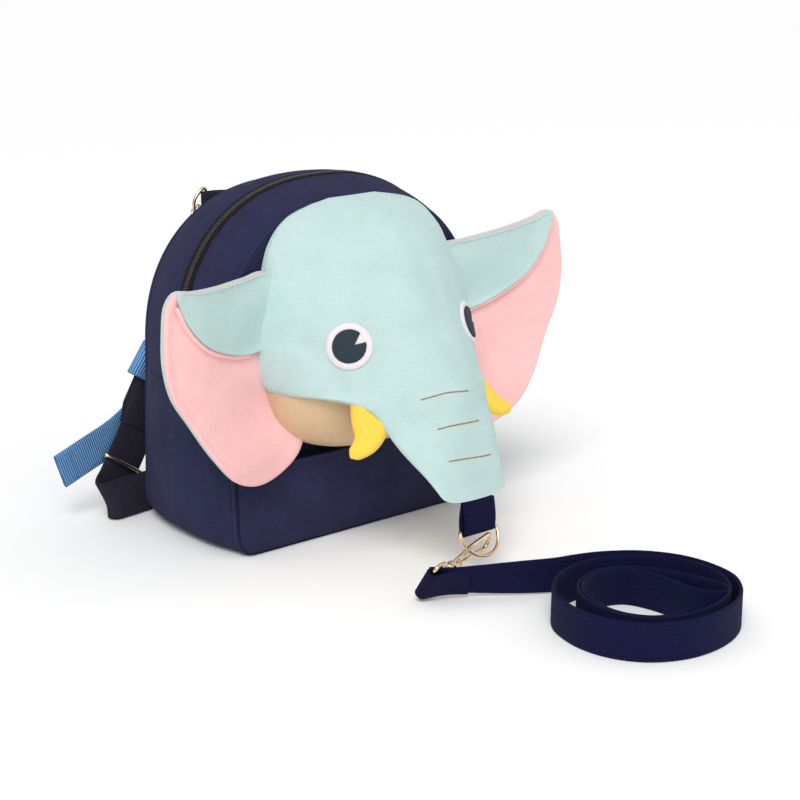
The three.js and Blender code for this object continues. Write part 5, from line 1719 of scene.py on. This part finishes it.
@dataclass
class Lead:
    """The walking lead: the trunk's tab, the coiled webbing and its hand loop."""

    web_width: float = 25.0
    web: float = 2.0
    fold: float = 27.0
    squeeze: float = 0.89
    stem: float = 2.6
    coil_x: float = 30.0
    coil_y: float = -304.0
    coil_radius: float = 57.0
    pitch: float = 2.7
    tab_width: float = 26.5
    tab_drop: float = 21.0
    tab_web: float = 1.6
    ring_wire: float = 2.8
    tip_y: float = -178.99
    tip_z: float = 53.11
    hook_end: Point = (-57.0, -196.49, 13.7)
    bar_rise: Point = (0.0, 0.0, 1.0)
    coil: tuple[Point, ...] = (
        (-0.246, 1.228), (0.263, 1.05), (0.68, 0.755), (0.93, 0.36), (0.99, 0), (0.93, -0.4), (0.6, -0.79),
        (0.088, -0.974), (-0.439, -0.93), (-0.842, -0.667), (-1.035, -0.281), (-1.053, 0.07), (-0.912, 0.509),
        (-0.526, 0.833), (-0.018, 0.925), (0.42, 0.785), (0.72, 0.495), (0.89, 0.07), (0.83, -0.34),
        (0.55, -0.675), (0.088, -0.833), (-0.439, -0.772), (-0.719, -0.561), (-0.842, -0.175), (-0.772, 0.193),
        (-0.614, 0.456), (-0.281, 0.623), (0.035, 0.614), (0.298, 0.404), (0.509, 0.035), (0.623, -0.316),
    )
    hand_fold: tuple[Point, ...] = (
        (0.655, -0.5), (0.632, -0.6), (0.535, -0.655), (0.39, -0.56), (0.3, -0.335), (0.3, -0.08), (0.27, 0.2),
    )

    def spot(self, share: Point) -> np.ndarray:
        """Returns a place on the floor for shares of the coil's radius."""
        return np.array([self.coil_x + share[0] * self.coil_radius, self.coil_y + share[1] * self.coil_radius, 0.0])

    def route(self) -> tuple[np.ndarray, int]:
        """Returns the places that the webbing's middle line passes, and how many belong to the end fold."""
        end_place = np.array(self.hook_end, float)
        rise = unit(self.bar_rise)
        gap = (self.web + GAP) / 2
        level = unit(self.spot(self.coil[0]) - np.array([end_place[0], end_place[1], 0.0]))
        out = unit(np.cross(rise, level))
        out = -out if out[1] > 0 else out
        wrap = self.stem / 2 + 3 * GAP + self.web / 2
        round_bar = square_to(level, rise)
        around = [
            end_place - round_bar * wrap * math.sin(a) + out * wrap * math.cos(a) for a in np.linspace(0, math.pi, 8)
        ]
        layer = lambda share, side: end_place + level * share * self.fold + out * side * gap
        fold = [layer(1, 1), layer(0.6, 1), layer(0.35, 1.6), *around, layer(0.35, -1.6), layer(0.6, -1)]
        coil = curve([self.spot(p) for p in self.coil], 260)
        nearest = lambda share, start: start + int(
            np.argmin(np.linalg.norm(coil[start:-1] - self.spot(share), axis=1))
        )
        joint, back = nearest((-0.14, -0.82), 150), nearest((0.16, 0.53), 200)
        inner = []
        for i in range(back, joint - 1, -6):
            t = unit(coil[i + 1] - coil[i - 1])
            inner.append(coil[i] + np.array([t[1], -t[0], 0.0]) * self.pitch)
        places = [*fold, *coil[::5], *[self.spot(p) for p in self.hand_fold], *inner]
        return np.array(places), len(fold)

    def webbing_path(self) -> tuple[np.ndarray, Callable[[np.ndarray], np.ndarray]]:
        """Returns the lead's path with its heights, and the direction of its width at a place."""
        end_place = np.array(self.hook_end, float)
        rise = unit(self.bar_rise)
        far = lambda p: math.hypot(p[0] - end_place[0], p[1] - end_place[1]) / self.coil_radius
        wide = lambda p: unit([mix(r, z, ease(far(p) / 1.6)) for r, z in zip(rise, (0, 0, 1))])
        rest = lambda p: self.web_width / 2 * wide(p)[2] + self.web / 2 * math.hypot(wide(p)[0], wide(p)[1])
        lift = end_place[2] - rest(end_place)
        places, fold = self.route()
        raised = [
            p if i < fold else np.array([p[0], p[1], rest(p) + GAP / 2 + lift * (1 - ease((far(p) - 0.3) / 1.1))])
            for i, p in enumerate(places)
        ]
        return curve(raised, 2600), wide

    def walking_lead(self) -> None:
        """Builds the coiled webbing."""
        fine, wide = self.webbing_path()
        path = respaced(fine, 0.12, 3.2)
        last = len(path) - 1
        width = lambda t: self.web_width * mix(self.squeeze, 1, ease(t / 0.3))
        across = lambda t: wide(path[round(t * last)])
        piece = webbing("webbing_lead", path, across, width, self.web)
        dress(piece, LEAD_WEB, "navy_webbing")
        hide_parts("lead")
        length_of(path) * MM

    def tab(self) -> None:
        """Builds the tab that holds the ring at the trunk's tip."""
        r = self.ring_wire / 2 + GAP + self.tab_web / 2
        near = self.tab_web / 2 + GAP / 2
        bar_z = self.tip_z - self.tab_drop
        side = lambda sign: [
            (0, self.tip_y + sign * near, self.tip_z - 2 * GAP),
            (0, self.tip_y + sign * (near + 0.6), self.tip_z - 4),
            (0, self.tip_y + sign * (r + 0.3), bar_z + 8),
            (0, self.tip_y + sign * r, bar_z + 1),
        ]
        bottom = [
            (0, self.tip_y - r * math.cos(a), bar_z - r * math.sin(a)) for a in np.linspace(0, math.pi, 9)[1:-1]
        ]
        path = curve([*side(-1), *bottom, *side(1)[::-1]], 70)
        piece = webbing("ring_tab", path, lambda _: (1, 0, 0), self.tab_width, self.tab_web)
        dress(piece, LEAD_WEB, "navy_webbing")
        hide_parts("trunk_tab")
        length_of(path) * MM

    def build(self) -> None:
        """Builds the tab and the lead."""
        self.tab()
        self.walking_lead()


def respaced(path: np.ndarray, turn: float, step: float) -> np.ndarray:
    """Returns a path with a place wherever it has turned or gone far enough."""
    kept = [path[0]]
    turned = gone = 0.0
    for before, place, after in zip(path, path[1:], path[2:]):
        a, b = unit(place - before), unit(after - place)
        turned += math.acos(min(1.0, float(np.dot(a, b))))
        gone += float(np.linalg.norm(place - before))
        if turned > turn or gone > step:
            kept.append(place)
            turned = gone = 0.0
    return np.array([*kept, path[-1]])


def turned(name: str, start: np.ndarray, way: np.ndarray, profile: Sequence[tuple[float, float]]) -> Piece:
    """Makes a turned piece.

    Args:
        name: The piece's name.
        start: Where its axis starts.
        way: The unit direction of its axis.
        profile: How far along each ring lies, and its radius.

    Returns:
        The new object.
    """
    side = square_to((0.3, 0.2, 1.0), way)
    other = np.cross(way, side)
    turns = np.linspace(0, 2 * math.pi, 24, endpoint=False)
    rows = [
        [start + way * far + radius * (math.cos(a) * side + math.sin(a) * other) for a in turns] for far, radius in profile
    ]
    return surface(name, np.array(rows), wrap=True, capped=True)


@dataclass
class Hook:
    """The ring at the trunk's tip and the snap hook: casting, rivet, lever and swivel eye."""

    start: Point = (11.0, -179.14, 22.21)
    end: Point = (-57.0, -196.49, 13.7)
    lever_side: Point = (0.0, 0.37, -0.93)
    bar_lean: Point = (-0.12, -0.58, 0.8)
    wire: float = 3.0
    neck: float = 42.0
    width: float = 15.8
    gate_wire: float = 2.2
    gate_heel: float = 1.0
    barrel: float = 7.0
    stem: float = 2.6
    web_width: float = 25.0
    ring_bar: Point = (0.0, -178.99, 32.11)
    ring_wire: float = 2.8
    ring_width: float = 34.0
    ring_drop: float = 21.5
    ring_swing: float = 0.57

    @property
    def along(self) -> np.ndarray:
        """Returns the direction from the bow to the swivel eye."""
        return unit(np.subtract(self.end, self.start))

    @property
    def across(self) -> np.ndarray:
        """Returns the direction from the hook's middle line to the lever."""
        return square_to(self.lever_side, self.along)

    @property
    def bow(self) -> float:
        """Returns the bow's radius."""
        return (self.width - self.wire) / 2

    @property
    def bar_rise(self) -> np.ndarray:
        """Returns the direction of the swivel eye's bar."""
        return square_to(self.bar_lean, self.along)

    def at(self, t: float, b: float = 0.0) -> np.ndarray:
        """Returns a place t along the hook and b towards the lever."""
        return np.array(self.start) + self.along * t + self.across * b

    def ring(self) -> None:
        """Builds the D-ring, swung forward by the hook's pull."""
        half, drop = (self.ring_width - self.ring_wire) / 2, self.ring_drop - self.ring_wire
        shape = (
            (-0.87, 0), (-0.4, 0), (0.4, 0), (0.87, 0), (0.985, -0.09), (0.98, -0.29), (0.84, -0.61), (0.52, -0.89),
            (0, -1), (-0.52, -0.89), (-0.84, -0.61), (-0.98, -0.29), (-0.985, -0.09),
        )
        _, y, z = self.ring_bar
        swing = (math.sin(self.ring_swing) * drop, math.cos(self.ring_swing) * drop)
        path = curve([(a * half, y + b * swing[0], z + b * swing[1]) for a, b in shape], 120, closed=True)[:-1]
        dress(tube("ring_wire", path, self.ring_wire, sides=18, closed=True), GOLD, "gold_metal")
        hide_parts("d_ring")

    def casting(self) -> None:
        """Builds the hook's bow, spine, barrel, lug and rivet as one piece."""
        b = self.bow
        nose = [self.at(b + b * math.cos(a), b * math.sin(a)) for a in np.linspace(0.4 * math.pi, 1.5 * math.pi, 19)]
        spine = [
            self.at(mix(b, self.neck - 4, f), -b + 0.55 * b * ease((f - 0.45) / 0.55)) for f in np.linspace(0.2, 1, 8)
        ]
        tail = [self.at(self.neck - 1, -0.25 * b), self.at(self.neck + 1.5)]
        rod = tube("rod", curve([*nose, *spine, *tail], 110), self.wire, sides=16)
        lug = tube("lug", evenly(np.array([self.at(self.neck - 9, 0.5 * b), self.at(self.neck, 0.2 * b)]), 8), 3.0)
        r = self.barrel / 2
        profile = (
            (-1.0, 2.2), (-0.8, 2.7), (0.0, 3.1), (0.9, r), (2.9, r), (3.2, 3.1),
            (3.7, 3.1), (4.0, r), (6.2, r), (6.8, 3.1), (7.0, 2.5),
        )
        barrel = turned("barrel", self.at(self.neck), self.along, profile)
        normal = np.cross(self.along, self.across)
        pivot = self.at(self.neck - 8.5, 0.52 * b)
        rivet = turned("rivet", pivot - normal * 2.0, normal, ((0.0, 0.6), (0.15, 1.2), (0.5, 1.5), (3.5, 1.5), (3.85, 1.2), (4.0, 0.6)))
        piece = join("hook_casting", [rod, lug, barrel, rivet])
        dress(piece, GOLD, "gold_metal")
        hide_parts("hook_body")

    def lever(self) -> None:
        """Builds the spring lever that closes the hook's mouth."""
        pivot, tip = self.at(self.neck - 8.5, 0.52 * self.bow), self.at(9.6, 0.74 * self.bow)
        way = unit(tip - pivot)
        path = evenly(np.array([pivot - way * self.gate_heel, tip]), 30)
        piece = dress(tube("spring_lever", path, self.gate_wire, sides=14, flatten=1.0), GOLD, "gold_metal", GATE)
        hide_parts("hook_gate")

    def eye(self) -> None:
        """Builds the swivel eye and its stem."""
        length = float(np.linalg.norm(np.subtract(self.end, self.start)))
        half = self.web_width / 2 + 3 * GAP + self.stem / 2
        root = self.neck + self.barrel + 3
        rise = self.bar_rise
        shape = (
            (length, -0.9), (length, 0), (length, 0.9), (length - 1.2, 1), (mix(length, root, 0.45), 0.95),
            (mix(length, root, 0.85), 0.5), (root, 0), (mix(length, root, 0.85), -0.5),
            (mix(length, root, 0.45), -0.95), (length - 1.2, -1),
        )
        path = curve([self.at(t) + rise * h * half for t, h in shape], 110, closed=True)[:-1]
        frame = tube("eye_frame", path, self.stem, sides=16, closed=True)
        stem = tube("eye_stem", evenly(np.array([self.at(self.neck + 2 + GAP), self.at(root + 0.5)]), 10), self.stem)
        piece = join("swivel_eye", [frame, stem])
        dress(piece, GOLD, "gold_metal")
        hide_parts("hook_eye")

    def build(self) -> None:
        """Builds the ring and the hook."""
        self.ring()
        self.casting()
        self.lever()
        self.eye()


def plate_slider(node: Piece) -> None:
    """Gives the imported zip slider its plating."""
    node.data.materials.clear()
    node.data.materials.append(GOLD.material())


@dataclass
class Studio:
    """A pale floor, soft light and the camera of the photograph."""

    azimuth: float = -39.0
    elevation: float = 16.5
    place: Point = (-758.1, -1034.9, 458.1)
    lens: float = 83.7
    floor: float = 6.0

    def camera(self) -> None:
        """Sets the camera at the photograph's angle."""
        back = Vector((
            math.sin(math.radians(self.azimuth)) * math.cos(math.radians(self.elevation)),
            -math.cos(math.radians(self.azimuth)) * math.cos(math.radians(self.elevation)),
            math.sin(math.radians(self.elevation)),
        ))
        data = bpy.data.cameras.new("camera")
        data.lens = self.lens
        data.sensor_width = 36.0
        camera = bpy.data.objects.new("camera", data)
        camera.location = Vector(self.place) * MM
        camera.rotation_euler = back.to_track_quat("Z", "Y").to_euler()
        bpy.context.scene.collection.objects.link(camera)
        bpy.context.scene.camera = camera

    def light(self, name: str, place: Point, power: float, size: float) -> None:
        """Adds a square soft light that looks at the bag."""
        data = bpy.data.lights.new(name, "AREA")
        data.energy = power
        data.size = size
        lamp = bpy.data.objects.new(name, data)
        lamp.location = Vector(place)
        lamp.rotation_euler = (Vector(place) - Vector((0, -0.08, 0.1))).to_track_quat("Z", "Y").to_euler()
        bpy.context.scene.collection.objects.link(lamp)

    def sun(self, name: str, direction: Point, power: float, spread: float) -> None:
        """Adds a wide sun that shines from a direction, spread over some degrees."""
        data = bpy.data.lights.new(name, "SUN")
        data.energy = power
        data.angle = math.radians(spread)
        lamp = bpy.data.objects.new(name, data)
        lamp.rotation_euler = Vector(direction).to_track_quat("Z", "Y").to_euler()
        bpy.context.scene.collection.objects.link(lamp)

    def build(self) -> None:
        """Builds the floor, world, lights and camera."""
        deselect_all()
        bpy.ops.mesh.primitive_plane_add(size=self.floor * 4, location=(0, 0, 0))
        floor = bpy.context.object
        set_name(floor, "studio_floor")
        paint = Shader("floor_paint")
        paint.surface.inputs["Base Color"].default_value = (0.98, 0.98, 0.98, 1)
        paint.surface.inputs["Roughness"].default_value = 0.9
        floor.data.materials.append(paint.material)
        world = bpy.data.worlds.new("studio_air")
        world.use_nodes = True
        world.node_tree.nodes["Background"].inputs["Color"].default_value = (1, 1, 1, 1)
        world.node_tree.nodes["Background"].inputs["Strength"].default_value = 0.64
        bpy.context.scene.world = world
        self.sun("key", (-0.55, -0.55, 1.0), 1.5, 30.0)
        self.light("window", (-0.9, -1.3, 1.1), 3.0, 0.7)
        self.light("fill", (1.5, -1.0, 0.8), 2.0, 1.0)
        bpy.context.scene.view_settings.view_transform = "Standard"
        self.camera()


def main() -> None:
    """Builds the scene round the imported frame."""
    logging.basicConfig(level=logging.INFO, format="%(name)s %(message)s")
    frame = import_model()
    outline = Outline()
    shell = Shell(outline)
    shell.build()
    Zip(shell).build()
    Head(outline).build()
    for side in Side:
        Ear(outline, side).build()
        Strap(outline, side).build()
    hook = Hook()
    hook.build()
    Lead(bar_rise=tuple(hook.bar_rise)).build()
    plate_slider(frame["nodes"]["zip_slider"])
    Studio().build()


if __name__ == "__main__":
    main()
